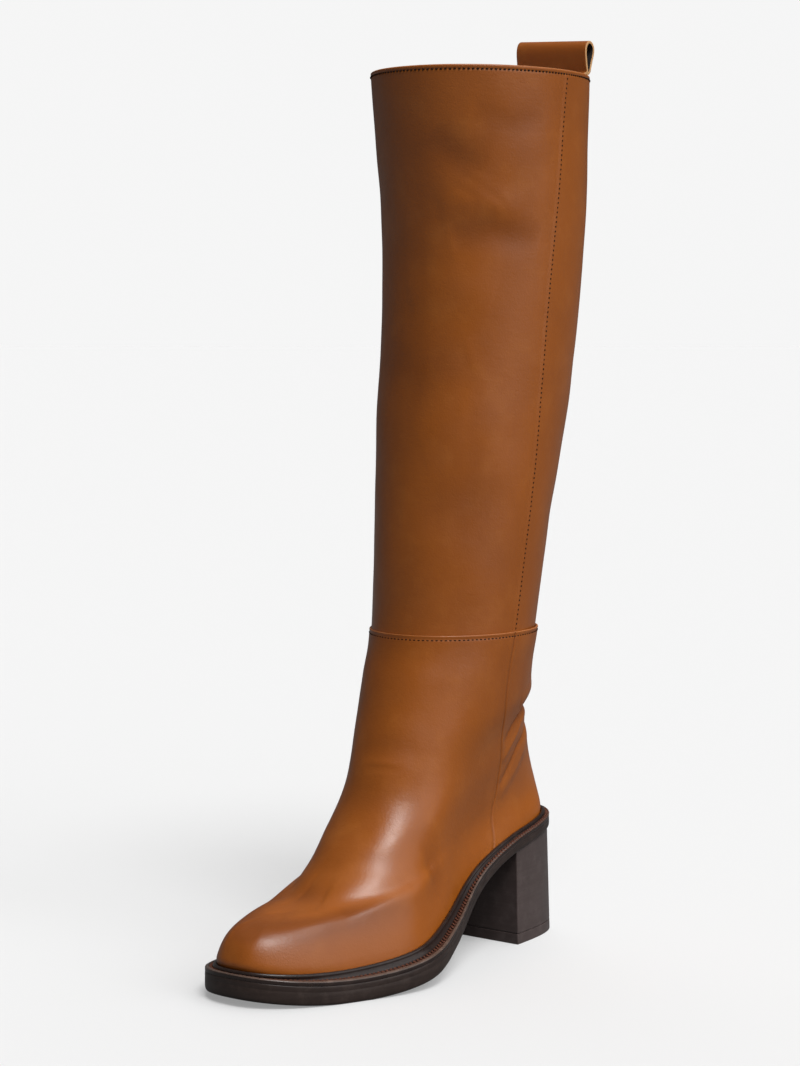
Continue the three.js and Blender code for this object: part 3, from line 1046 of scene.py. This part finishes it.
SHAFT_CREASES = (
    Crease(((11.22, 0.04), (11.27, 0.1), (11.2, 0.17)), 1.0, 9.0),
    Crease(((11.04, 0.06), (11.1, 0.12), (11.02, 0.2)), -1.1, 9.0),
    Crease(((11.62, 0.03), (11.5, 0.07), (11.42, 0.11)), -0.9, 9.0),
    Crease(((11.75, 0.1), (11.68, 0.16), (11.72, 0.21)), -0.6, 8.0),
    Crease(((10.72, -0.02), (10.8, 0.06), (10.72, 0.13)), 0.7, 12.0),
    Crease(((10.3, -0.1), (10.2, 0.0), (10.35, 0.1)), -0.8, 16.0),
    Crease(((9.75, 0.02), (9.9, 0.1), (9.85, 0.18)), 0.5, 16.0),
    Crease(((9.35, 0.0), (9.3, 0.1), (9.42, 0.2)), -0.6, 14.0),
    Crease(((11.36, 0.06), (11.3, 0.09), (11.26, 0.1)), -0.3, 1.6),
    Crease(((11.33, 0.11), (11.28, 0.13), (11.22, 0.145)), -0.28, 1.5),
    Crease(((11.45, 0.085), (11.4, 0.1), (11.36, 0.12)), 0.22, 1.5),
    Crease(((9.1, 0.3), (9.3, 0.4), (9.2, 0.5), (9.3, 0.6), (9.1, 0.7)), -0.7, 11.0),
    Crease(((10.0, 0.32), (10.2, 0.42), (10.1, 0.55)), 0.6, 15.0),
    Crease(((10.8, 0.36), (10.9, 0.5), (10.8, 0.64)), -0.6, 14.0),
    Crease(((11.2, 0.75), (11.3, 0.85), (11.25, 0.95)), -0.5, 14.0),
    Crease(((9.9, 0.74), (10.0, 0.84), (9.9, 0.94)), 0.5, 15.0),
)


# ---- stitching -----------------------------------------------------------------------------------
@dataclass(frozen=True)
class StitchRun:
    """A run of stitches along a path on the boot."""

    path: Array  # places, in the shoe's own measure
    outward: Array  # unit directions
    pitch: float
    length: float
    width: float
    height: float
    slant: float = 0.0  # degrees that each stitch turns on the face
    lookout: float = 0.4  # millimetres to each side over which its direction is read
    batch: int = 25  # stitches that are joined at a time

    def sew(self, bm: bmesh.types.BMesh) -> int:
        """Adds the stitches to a mesh.

        Args:
            bm: The mesh.

        Returns:
            How many were made.
        """
        lengths = np.linalg.norm(np.diff(self.path, axis=0), axis=1)
        travelled = np.concatenate([[0], np.cumsum(lengths)])
        count = max(1, round(travelled[-1] / self.pitch))

        def read(values: Array, at: float) -> Vector:
            """Three values read at a distance along the path."""
            return Vector([np.interp(at, travelled, values[:, k]) for k in range(3)])

        batch = bmesh.new()
        for i in range(count):
            here = (i + 0.5) * travelled[-1] / count
            place = read(self.path, here)
            ahead = read(self.path, min(here + self.lookout, travelled[-1]))
            behind = read(self.path, max(here - self.lookout, 0))
            out = read(self.outward, here).normalized()
            onward = (ahead - behind).normalized()
            onward.rotate(Matrix.Rotation(math.radians(self.slant), 3, out))
            side = out.cross(onward).normalized()
            onward = side.cross(out)
            axes = Matrix((onward, side, out)).transposed().to_4x4()
            size = Matrix.Diagonal((self.length / 2, self.width / 2, self.height / 2, 1))
            spot = Matrix.Translation(Vector(placed(np.array(place)))) @ axes @ Matrix.Scale(MM, 4) @ size
            bmesh.ops.create_uvsphere(batch, u_segments=6, v_segments=5, radius=1, matrix=spot)
            if i % self.batch == self.batch - 1:
                join(bm, batch)
                batch = bmesh.new()
        join(bm, batch)
        return count


def sew_runs(name: str, runs: Sequence[StitchRun], thread: bpy.types.Material, slot: str) -> bpy.types.Object:
    """Makes one piece of several runs of stitches.

    Args:
        name: The piece's name.
        runs: Its runs.
        thread: Its material.
        slot: The record's material slot.

    Returns:
        The piece.
    """
    bm = bmesh.new()
    count = sum(run.sew(bm) for run in runs)
    log.info("%s: %d stitches", name, count)
    return bring_out(name, bm, [thread], slot)


@dataclass
class Leg:
    """The shaft, its folded collar edge, its side seams and their stitching."""

    wall: float = SHAFT_WALL
    bottom: float = 7.65  # contour at which the shaft ends inside the upper
    stitch_drop: float = 1.7  # millimetres from the collar to its stitching
    seam_inset: float = 1.5  # millimetres from the side seam to its stitching
    columns: int = 250
    rows: int = 165

    def make(self, finishes: Finishes) -> None:
        """Builds the leg's pieces.

        Args:
            finishes: Every material of the boot.
        """
        relief = Relief(SHAFT_CREASES, (Undulation(0.55, 60.0, 3.1), Undulation(0.22, 22.0, 8.7)))
        wall = LeatherWall(
            "shaft_leather", "upper_leather", "shaft", self.bottom, LAST.collar, -LAP_STEP, self.wall,
            self.rows, self.columns, relief, 0.3, True, stitch_drop=self.stitch_drop,
        )
        wall.make([finishes.upper, finishes.fold_highlight, finishes.lining])
        self.sew(finishes, relief)

    def sew(self, finishes: Finishes, relief: Relief) -> None:
        """Stitches the collar and both side seams.

        Args:
            finishes: Every material of the boot.
            relief: What moves the face.
        """
        turn = np.linspace(0, 1, 241)
        drop = self.stitch_drop / LAST.spacing(LAST.collar)
        runs = [self.run(relief, np.full_like(turn, LAST.collar - drop), turn, 2.5, 1.7, 0.3)]
        sew_runs("collar_stitches", runs, finishes.seam_thread, "upper_leather")
        contour = np.linspace(8.02, LAST.collar - 0.03, 160)
        seam = LAST.side_seam.at(contour)
        behind = self.seam_inset / LAST.girth_step(contour, seam)
        outer = self.run(relief, contour, seam + behind, 2.6, 1.35, 0.5)
        inner = self.run(relief, contour, 1 - seam - behind, 2.6, 1.35, 0.5)
        sew_runs("side_stitches", [outer, inner], finishes.seam_thread, "upper_leather")

    def run(
        self, relief: Relief, contour: Array, turn: Array, pitch: float, length: float, sink: float
    ) -> StitchRun:
        """A run of stitches on the shaft's face.

        Args:
            relief: What moves the face.
            contour: The path's contours.
            turn: The path's turns.
            pitch: Millimetres from stitch to stitch.
            length: Millimetres of each stitch.
            sink: Millimetres that the thread's foot lies over the face without the seam's step.

        Returns:
            The run.
        """
        base = LAST.point(contour, turn)
        out, _, _ = LAST.directions(contour, turn)
        offset = -LAP_STEP + relief.at(base) + sink - 0.2
        return StitchRun(LAST.face(contour, turn, offset), out, pitch, length, 0.95, 0.75)


@dataclass
class Foot:
    """The vamp and quarters: the lasted leather, its folded top edge and closed side seams."""

    wall: float = 1.1  # skived leather, as it shows at the ankle seam
    stitch_drop: float = 1.5  # millimetres from the ankle seam's edge to its stitching
    columns: int = 330
    rows: int = 150

    def make(self, finishes: Finishes) -> None:
        """Builds the foot's pieces.

        Args:
            finishes: Every material of the boot.
        """
        creases = (*FOOT_CREASES, *FOOT_BACK, *FOOT_SOFT)
        relief = Relief(creases, (Undulation(0.35, 45.0, 1.7), Undulation(0.12, 16.0, 5.2)))
        wall = LeatherWall(
            "upper_leather", "upper_leather", "upper", 0.02, LAST.ankle, 0.0, self.wall,
            self.rows, self.columns, relief, 0.4, False, stitch_drop=self.stitch_drop,
        )
        wall.make([finishes.upper, finishes.fold_highlight, finishes.lining])
        turn = np.linspace(0, 1, 241)
        contour = np.full_like(turn, LAST.ankle - self.stitch_drop / LAST.spacing(LAST.ankle))
        base = LAST.point(contour, turn)
        out, _, _ = LAST.directions(contour, turn)
        path = LAST.face(contour, turn, relief.at(base) - 0.1)
        runs = [StitchRun(path, out, 2.5, 1.7, 0.75, 0.6)]
        sew_runs("ankle_stitches", runs, finishes.seam_thread, "upper_leather")


# ---- pull loop -----------------------------------------------------------------------------------
@dataclass
class PullLoop:
    """A doubled strap that rises from inside the collar, straight across the back."""

    width: float = 48.5
    shift: float = 4.75
    rise: float = 26.4
    drop: float = 2.6
    line: float = -21.4  # along of its back face above the collar
    clear: float = 0.6
    straight: float = 7.0
    depth: float = 24.0
    strap: float = 1.7
    gap: float = 0.4  # from the shaft's lining to the strap
    columns: int = 40
    rows: int = 90

    def centre_line(self) -> tuple[Array, Array]:
        """The strap's middle seen along its width.

        Returns:
            How far in from its back face, and how high over the collar.
        """
        half = self.strap / 2
        low = (-self.depth, -self.depth / 2, self.clear)
        back = (-1.0, -3.1, -2.35)
        front = (3.5, 4.55, 3.8, 2.65)
        inward = np.array([half, half, half, half, *back, 0.65, *front, 2.6, 2.6, 2.6])
        up = np.array([*low, 5.2, 12.5, 19.5, 23.7, 25.5, 23.7, 19.4, 12.0, 6.0, *low[::-1]])
        stations = np.arange(len(up), dtype=float)
        fine = np.linspace(0, len(up) - 1, 12 * len(up))
        x = Line(tuple(stations), tuple(inward)).at(fine)
        y = Line(tuple(stations), tuple(up)).at(fine)
        lengths = np.hypot(np.diff(x), np.diff(y))
        travelled = np.concatenate([[0], np.cumsum(lengths)])
        even = np.linspace(0, travelled[-1], self.rows + 1)
        return np.interp(even, travelled, x), np.interp(even, travelled, y)

    def place(self, share: Array, inward: Array, up: Array) -> Array:
        """Places of the strap, at shares of its width from its inner end to its outer end.

        Args:
            share: Shares of its width.
            inward: Millimetres in from its back face.
            up: Millimetres over the collar.

        Returns:
            An array of x, minus along, up.
        """
        collar = LAST.contours[round(LAST.collar)]
        to_lining = LAP_STEP + SHAFT_WALL + self.gap
        across = self.shift + (share - 0.5) * self.width
        turn = 0.5 - np.arcsin(across / collar.half) / (2 * np.pi)
        inside = unit(np.stack([-across / collar.half, -np.ones_like(across), np.zeros_like(across)], -1))
        contour = LAST.collar - np.maximum(0, -up) / LAST.spacing(LAST.collar)
        curved = LAST.face(contour, turn, -to_lining) + inside * inward[:, None]
        level = np.stack([across, -self.line - inward, np.zeros_like(across)], -1)
        ease = np.clip((up - self.clear) / (self.straight - self.clear), 0, 1)
        ease = ease * ease * (3 - 2 * ease)
        places = curved + (level - curved) * ease[:, None]
        lower = self.drop * share * np.clip(up / self.rise, 0, 1)
        places[:, 2] = collar.front_up + up - lower
        return places

    def make(self, finishes: Finishes) -> None:
        """Builds the strap.

        Args:
            finishes: Every material of the boot.
        """
        inward, up = self.centre_line()

        def shape(column: Array, row: Array) -> Array:
            """Places of the strap's middle face."""
            station = np.rint(row * self.rows).astype(int)
            return self.place(column, inward[station], up[station])

        bm = lay(self.columns, self.rows, shape)
        # the strap's back face takes the near-black painted shade, and its cut rim the pale raw edge
        faces = [finishes.loop, finishes.shaded_underside, finishes.raw_edge]
        piece = bring_out("pull_loop_strap", bm, faces, "loop_leather", ("pull_loop",))
        solid = piece.modifiers.new("thickness", "SOLIDIFY")
        solid.thickness = (self.strap - 0.1) * MM
        solid.offset = 0
        solid.material_offset = 1
        solid.material_offset_rim = 2
        soften_edges(piece, 0.25, 2, 60)


# ---- welt and sole -------------------------------------------------------------------------------
def sweep(section: Callable[[Array], list[Array]], steps: int) -> Shape:
    """Carries a section round the boot.

    Args:
        section: The section's points at each turn.
        steps: Rows of faces, one for each point where the section closes on itself.

    Returns:
        The shape for lay.
    """

    def shape(column: Array, row: Array) -> Array:
        """Places of the grid's points."""
        sections = np.stack(section(column), 1)
        station = np.rint(row * steps).astype(int) % sections.shape[1]
        return sections[np.arange(len(column)), station]

    return shape


@dataclass
class Welt:
    """The storm welt: a polished rib against the leather and a stitched shelf outside it."""

    gap: float = 0.3
    ridge_contour: float = 0.6
    shelf: float = 2.6
    root: float = 3.0  # where the rib ends on the shelf
    braid: float = 0.4  # where the braid lies, as a share of the shelf from the rib
    columns: int = 420

    def profile(self, turn: Array) -> list[Array]:
        """The section's points at each turn, closed.

        Args:
            turn: Turns round the boot.

        Returns:
            One array of places for each point.
        """
        reach = LAST.edge_reach(-LAST.point(0, turn)[..., 1])

        def on_bed(offset: Array | float, up: float) -> Array:
            """A point over the bed."""
            return LAST.on_bed(LAST.feather(turn, offset), up)

        crest = LAST.face(self.ridge_contour, turn, 0.0)[..., 2]

        def beside(offset: float, drop: float) -> Array:
            """A point beside the leather at the rib's crest."""
            point = LAST.face(np.full_like(turn, self.ridge_contour), turn, offset)
            point[..., 2] = crest - drop
            return point

        points = [on_bed(self.gap, self.gap), beside(self.gap, 0.6), beside(0.45, 0.12)]
        for angle in np.linspace(110, -25, 9):
            rad = math.radians(angle)
            points.append(beside(1.45 + 1.15 * math.cos(rad), 1.15 - 1.25 * math.sin(rad)))
        root = self.root
        points.append(on_bed(root + 0.1, self.shelf + 0.1))
        points.append(on_bed(root + 0.35, self.shelf - 0.35))
        bay = reach - root
        for share, dip in ((0.2, 0.75), (0.36, 0.85), (0.52, 0.7), (0.6, 0.25), (0.66, 0.0), (0.74, -0.12)):
            points.append(on_bed(root + bay * share, self.shelf - dip))
        for angle in np.linspace(80, 0, 5):
            rad = math.radians(angle)
            points.append(on_bed(reach - 0.9 + 0.9 * math.cos(rad), self.shelf - 0.95 + 0.9 * math.sin(rad)))
        points.append(on_bed(reach, 0.3))
        points.append(on_bed(reach - 0.1, 0.03))
        return points

    def make(self, finishes: Finishes) -> None:
        """Builds the welt and its braided stitching.

        Args:
            finishes: Every material of the boot.
        """
        count = len(self.profile(np.array([0.0])))
        bm = lay(self.columns, count, sweep(self.profile, count))
        lip_first, lip_last = count - 8, count - 4
        # the lip's rows take the lighter finish of the painted highlight
        paint_rows(bm, lambda share: 1 if lip_first < share * count < lip_last else 0)
        bring_out("welt_strip", bm, [finishes.welt, finishes.lip_highlight], "welt", ("welt",))
        turn = np.linspace(0, 1, 1200)
        reach = LAST.edge_reach(-LAST.point(0, turn)[..., 1])
        bay = reach - self.root
        middle = self.root + bay * self.braid
        up = np.tile([0.0, 0.0, 1.0], (len(turn), 1))
        runs = []
        for side, slant in ((-1, 40), (1, -40)):
            apart = 0.25 + 0.12 * bay
            path = LAST.on_bed(LAST.feather(turn, middle + side * apart), self.shelf - 0.45)
            runs.append(StitchRun(path, up, 2.5, 3.1, 1.5, 1.2, slant))
        sew_runs("welt_braid", runs, finishes.welt_thread, "welt")


@dataclass
class Outsole:
    """The moulded outsole with its edge line and the ribs under the waist."""

    columns: int = 360
    inner_rows: int = 7
    edge_line: float = 0.3  # share of the edge's height, from the top
    spine_ends: tuple[float, float] = (26.0, 214.0)  # along
    top_inset: float = 0.6  # the upper face's rows end this far inside the edge
    under_inset: float = 1.3  # and the underside's
    rib_ends: tuple[float, float] = (62.0, 160.0)  # along
    rib_pitch: float = 4.2
    rib_width: float = 1.5
    rib_inset: float = 4.0  # how much shorter than the feather line on each side
    rib_bow: float = 3.0
    rib_drop: float = 0.55  # below the outsole's underside
    rib_root: float = 0.5  # into the outsole

    def spine(self, turn: Array) -> Array:
        """Places on the middle line, at the same part of the length as each turn.

        Args:
            turn: Turns round the boot.

        Returns:
            An array of x and minus along.
        """
        edge = LAST.point(0, turn)
        along = np.clip(-edge[..., 1], *self.spine_ends)
        return np.stack([LAST.plan_centre.at(LAST.plan_share(along)), -along], -1)

    def section(self, turn: Array) -> list[Array]:
        """Places from the top's middle line over the edge to the bottom's middle line.

        Args:
            turn: Turns round the boot.

        Returns:
            One array of places for each point.
        """
        reach = LAST.edge_reach(-LAST.point(0, turn)[..., 1])
        spine = self.spine(turn)
        rows = []

        def inward(offset: Array, share: float, heights: Callable[[Array], Array]) -> Array:
            """A place between the middle line and the edge."""
            edge = LAST.feather(turn, offset)
            plan = spine + (edge[..., :2] - spine) * share
            return np.concatenate([plan, heights(-plan[..., 1])[..., None]], -1)

        for share in np.linspace(0, 1, self.inner_rows + 1)[:-1]:
            rows.append(inward(reach - self.top_inset, share, LAST.bed.at))
        rows.append(inward(reach - 0.5, 1, LAST.bed.at))

        def side(offset: float, share: float) -> Array:
            """A place on the edge, at a share of its height from the top."""
            edge = LAST.feather(turn, reach + offset)
            top = LAST.bed.at(-edge[..., 1])
            low = LAST.tread_up(-edge[..., 1])
            return np.stack([edge[..., 0], edge[..., 1], top + (low - top) * share], -1)

        line = self.edge_line
        upper_band = ((-0.2, 0.0), (-0.04, 0.03), (0.04, 0.1), (0.06, line - 0.05))
        groove = ((0.0, line - 0.02), (0.0, line + 0.02))
        lower_band = ((0.08, line + 0.05), (0.1, 0.55), (0.06, 0.75), (-0.06, 0.86))
        rounding = ((-0.35, 0.93), (-0.8, 0.985), (-self.under_inset, 1.0))
        bulges = (*upper_band, *groove, *lower_band, *rounding)
        rows += [side(offset, share) for offset, share in bulges]
        for share in np.linspace(1, 0, self.inner_rows + 1)[1:]:
            rows.append(inward(reach - self.under_inset, share, LAST.tread_up))
        return rows

    def make(self, finishes: Finishes) -> None:
        """Builds the outsole and its ribs.

        Args:
            finishes: Every material of the boot.
        """
        count = len(self.section(np.array([0.0])))
        under = count - self.inner_rows - 1
        bm = lay(self.columns, count - 1, sweep(self.section, count - 1))
        paint_rows(bm, lambda share: 1 if share * (count - 1) > under else 0)
        bring_out("outsole_unit", bm, [finishes.sole, finishes.tread], "sole_rubber", ("outsole",))
        self.ribs(finishes)

    def ribs(self, finishes: Finishes) -> None:
        """Builds the slim cross ribs under the waist, a little bowed.

        Args:
            finishes: Every material of the boot.
        """
        bm = bmesh.new()
        for along in np.arange(*self.rib_ends, self.rib_pitch):
            share = LAST.plan_share(along)
            half = LAST.plan_half.at(share) - self.rib_inset
            centre = LAST.plan_centre.at(share)
            rib = bmesh.new()
            bmesh.ops.create_cube(rib, size=1.0)
            ends = [(edge, edge.verts[0].co.x - edge.verts[1].co.x) for edge in rib.edges]
            long_edges = [edge for edge, length in ends if abs(length) > 0.5]
            bmesh.ops.subdivide_edges(rib, edges=long_edges, cuts=9)
            for vert in rib.verts:
                bow = self.rib_bow * (1 - (vert.co.x * 2) ** 2)
                y = -(along + vert.co.y * self.rib_width + bow)
                up = float(LAST.tread_up(np.array(-y)))
                drop = min(self.rib_drop, up) if vert.co.z < 0 else -self.rib_root
                vert.co = placed(np.array([vert.co.x * 2 * half + centre, y, up - drop]))
            join(bm, rib)
        bmesh.ops.recalc_face_normals(bm, faces=bm.faces)
        bring_out("waist_ribs", bm, [finishes.tread], "sole_rubber", smooth=False)


@dataclass
class Heel:
    """The stacked heel block with its replaceable top piece."""

    inset: float = 0.6
    side_flare: float = 1.2
    back_flare: float = 2.4
    top_piece: float = 6.0
    gap: float = 0.12
    columns: int = 180
    straight_share: float = 0.3  # share of the outline that is the breast
    flare_low: float = 0.9  # share of the flare reached where the block meets the top piece

    def outline(self, share: Array, flare: Array) -> Array:
        """The D-shaped outline.

        Args:
            share: Round the outline from the breast's outer corner.
            flare: How much of the flare is reached.

        Returns:
            Places at height zero.
        """
        offset = LAST.edge_seat - EDGE_DRAFT - self.inset
        fine = np.linspace(0.2, 0.8, 1201)
        seat = LAST.feather(fine, offset)
        behind = seat[:, 1] > -HEEL_BREAST
        seat = seat[behind]
        first = seat[0].copy()
        last = seat[-1].copy()
        first[1] = last[1] = -HEEL_BREAST
        seat = np.concatenate([[first], seat, [last]])
        travelled = np.concatenate([[0], np.cumsum(np.linalg.norm(np.diff(seat[:, :2], axis=0), axis=1))])
        travelled /= travelled[-1]
        round_back = np.clip(share / (1 - self.straight_share), 0, 1)
        breast = np.clip((share - (1 - self.straight_share)) / self.straight_share, 0, 1)
        x = np.interp(round_back, travelled, seat[:, 0])
        y = np.interp(round_back, travelled, seat[:, 1])
        x = np.where(breast > 0, last[0] + (first[0] - last[0]) * breast, x)
        y = np.where(breast > 0, -HEEL_BREAST, y)
        edge = np.clip(np.abs(x) / np.abs(first[0]), 0, 1)
        back = 1 + y / HEEL_BREAST
        x = x + np.sign(x) * edge * self.side_flare * flare
        return np.stack([x, y + self.back_flare * flare * back, np.zeros_like(x)], -1)

    def block(self, heights: Sequence[float], top_follows: bool) -> bmesh.types.BMesh:
        """A stack of outlines, closed above and below.

        Args:
            heights: Each row's share of the height, from the top.
            top_follows: Whether the top lies against the outsole or is flat.

        Returns:
            The mesh.
        """
        rows = len(heights) - 1

        def shape(column: Array, row: Array) -> Array:
            """Places of the block's points."""
            station = np.rint(row * rows).astype(int)
            share = np.array(heights)[station]
            top_flare, low_flare = (0.0, self.flare_low) if top_follows else (self.flare_low, 1.0)
            places = self.outline(column, top_flare + (low_flare - top_flare) * share)
            under = LAST.bed.at(-places[:, 1]) - LAST.outsole_seat
            top = under - self.gap if top_follows else self.top_piece
            low = self.top_piece + self.gap if top_follows else 0.0
            places[:, 2] = top + (low - top) * share
            return places

        bm = lay(self.columns, rows, shape)
        bmesh.ops.holes_fill(bm, edges=[edge for edge in bm.edges if edge.is_boundary], sides=0)
        bmesh.ops.recalc_face_normals(bm, faces=bm.faces)
        return bm

    def make(self, finishes: Finishes) -> None:
        """Builds the block and the top piece.

        Args:
            finishes: Every material of the boot.
        """
        stack = self.block([0.0, *np.linspace(0.02, 0.98, 14), 1.0], True)
        soften_edges(bring_out("heel_block_stack", stack, [finishes.heel], "heel", ("heel_block",)), 0.5)
        lift = self.block([0.0, 0.1, 0.5, 0.9, 1.0], False)
        soften_edges(bring_out("heel_top_lift", lift, [finishes.heel], "heel", ("heel_top_piece",)), 0.4)


@dataclass
class Sock:
    """The insole with its leather sock, inside the boot."""

    wall: float = 2.0
    gap: float = 0.35
    thickness: float = 3.0
    lift: float = 0.3  # over the bed
    columns: int = 220
    inner_rows: int = 9

    def make(self, finishes: Finishes) -> None:
        """Builds the sock.

        Args:
            finishes: Every material of the boot.
        """
        sole = Outsole()
        across = np.linspace(0, 1, self.inner_rows + 1)
        top = self.thickness + self.lift
        stations = [(share, top) for share in across[:-1]]
        stations += [(0.985, top), (1.0, self.thickness), (1.0, 0.5)]
        stations += [(share, self.lift) for share in across[::-1]]
        count = len(stations) - 1

        def shape(column: Array, row: Array) -> Array:
            """Places of the sock's points."""
            station = np.rint(row * count).astype(int)
            share = np.array([s for s, _ in stations])[station]
            up = np.array([u for _, u in stations])[station]
            spine = sole.spine(column)
            edge = LAST.feather(column, -self.wall - self.gap)[..., :2]
            plan = spine + (edge - spine) * share[:, None]
            return np.concatenate([plan, (LAST.bed.at(-plan[:, 1]) + up)[:, None]], -1)

        bring_out("sock_leather", lay(self.columns, count, shape), [finishes.lining], "lining", ("insole",))


# ---- studio --------------------------------------------------------------------------------------
class Lamp(Enum):
    """The studio's soft lights."""

    KEY = "key"
    GLEAM = "gleam"
    TOP = "top"
    REAR = "rear"


@dataclass(frozen=True)
class LightPlan:
    """One wide soft light, far away: where it comes from, how wide it looks and how bright it is."""

    kind: Lamp
    around: float  # degrees from the toe's direction towards the outer side
    high: float  # degrees over the floor
    wide: float  # degrees across
    white: float  # how bright it makes white paper that faces it
    mirrored: bool = True  # whether it shows as a highlight


@dataclass
class Studio:
    """The pale floor, the soft lights and the camera."""

    lights: tuple[LightPlan, ...] = (
        LightPlan(Lamp.KEY, 80, 36, 60, 0.44, False),
        LightPlan(Lamp.GLEAM, 105, 28, 60, 0.2),
        LightPlan(Lamp.TOP, 60, 60, 26, 0.62),
        LightPlan(Lamp.REAR, 200, 58, 60, 0.4, False),
    )
    sky: float = 0.12  # the surroundings as they light the boot
    gloss_sky: float = 0.09  # as they mirror in it
    backdrop: float = 0.918  # as they are seen
    floor_glow: float = 0.28
    floor_bounce: float = 0.14
    camera_x: float = 877.52
    camera_along: float = 1224.65
    camera_up: float = 344.45
    heading: float = 38.405  # degrees from straight back towards the inner side
    dip: float = 4.44  # degrees below level
    focal: float = 87.68
    sensor: float = 36.0

    def make(self) -> None:
        """Builds floor, world, lights and camera."""
        self.floor()
        self.world()
        for plan in self.lights:
            self.light(plan)
        self.camera()

    def floor_light(self) -> float:
        """How bright the lights and the sky make white paper on the floor."""
        return self.sky + sum(plan.white * math.sin(math.radians(plan.high)) for plan in self.lights)

    def floor(self) -> None:
        """Lays a wide pale floor that meets the backdrop without a line."""
        bm = bmesh.new()
        bmesh.ops.create_circle(bm, cap_ends=True, segments=96, radius=60)
        mesh = bpy.data.meshes.new("floor")
        bm.to_mesh(mesh)
        bm.free()
        floor = bpy.data.objects.new("floor", mesh)
        bpy.context.scene.collection.objects.link(floor)
        material = bpy.data.materials.new("pale_floor")
        material.use_nodes = True
        bench = Bench(material.node_tree)
        shader = material.node_tree.nodes["Principled BSDF"]
        paint = (self.backdrop - self.floor_glow) / self.floor_light()
        seen = bench.put("ShaderNodeLightPath").outputs["Is Camera Ray"]
        tone = bench.span(seen, 0, 1, self.floor_bounce, paint)
        glow = bench.span(seen, 0, 1, 0, self.floor_glow)
        material.node_tree.links.new(tone, shader.inputs["Base Color"])
        material.node_tree.links.new(glow, shader.inputs["Emission Strength"])
        shader.inputs["Emission Color"].default_value = (1, 1, 1, 1)
        shader.inputs["Roughness"].default_value = 1.0
        shader.inputs["Specular IOR Level"].default_value = 0.0
        mesh.materials.append(material)

    def world(self) -> None:
        """Surrounds the boot with even pale light."""
        world = bpy.data.worlds.new("studio")
        bpy.context.scene.world = world
        world.use_nodes = True
        bench = Bench(world.node_tree)
        background = world.node_tree.nodes["Background"]
        path = bench.put("ShaderNodeLightPath")
        glossy = bench.span(path.outputs["Is Glossy Ray"], 0, 1, self.sky, self.gloss_sky)
        more = bench.span(path.outputs["Is Camera Ray"], 0, 1, 0, self.backdrop - self.sky)
        world.node_tree.links.new(bench.sum("ADD", glossy, more), background.inputs["Strength"])
        background.inputs["Color"].default_value = (1, 1, 1, 1)

    def light(self, plan: LightPlan) -> None:
        """Hangs one soft light.

        Args:
            plan: The light.
        """
        data = bpy.data.lights.new(plan.kind.value, "SUN")
        data.angle = math.radians(plan.wide)
        data.energy = plan.white * math.pi
        lamp = bpy.data.objects.new(plan.kind.value, data)
        lamp.visible_glossy = plan.mirrored
        bpy.context.scene.collection.objects.link(lamp)
        around, high = math.radians(plan.around), math.radians(plan.high)
        level = math.cos(high)
        towards = Vector((math.sin(around) * level, -math.cos(around) * level, math.sin(high)))
        lamp.location = towards * 4
        lamp.rotation_euler = (-towards).to_track_quat("-Z", "Y").to_euler()

    def camera(self) -> None:
        """Stands the camera at the wanted angle to the boot."""
        data = bpy.data.cameras.new("camera")
        data.lens = self.focal
        data.sensor_width = self.sensor
        data.clip_start = 0.05
        data.clip_end = 200
        camera = bpy.data.objects.new("camera", data)
        bpy.context.scene.collection.objects.link(camera)
        camera.location = placed(np.array([self.camera_x, -self.camera_along, self.camera_up]))
        turn, dip = math.radians(self.heading), math.radians(self.dip)
        look = Vector((-math.sin(turn) * math.cos(dip), math.cos(turn) * math.cos(dip), -math.sin(dip)))
        camera.rotation_euler = look.to_track_quat("-Z", "Y").to_euler()
        bpy.context.scene.camera = camera


def main() -> None:
    """Builds every piece in order."""
    logging.basicConfig(level=logging.INFO, format="%(name)s %(message)s")
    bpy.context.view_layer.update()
    bpy.context.scene.view_settings.view_transform = "Standard"
    finishes = Finishes(Effects())
    for assembly in (Leg(), Foot(), PullLoop(), Welt(), Outsole(), Heel(), Sock()):
        assembly.make(finishes)
        log.info("%s built", type(assembly).__name__)
    Studio().make()


if __name__ == "__main__":
    main()
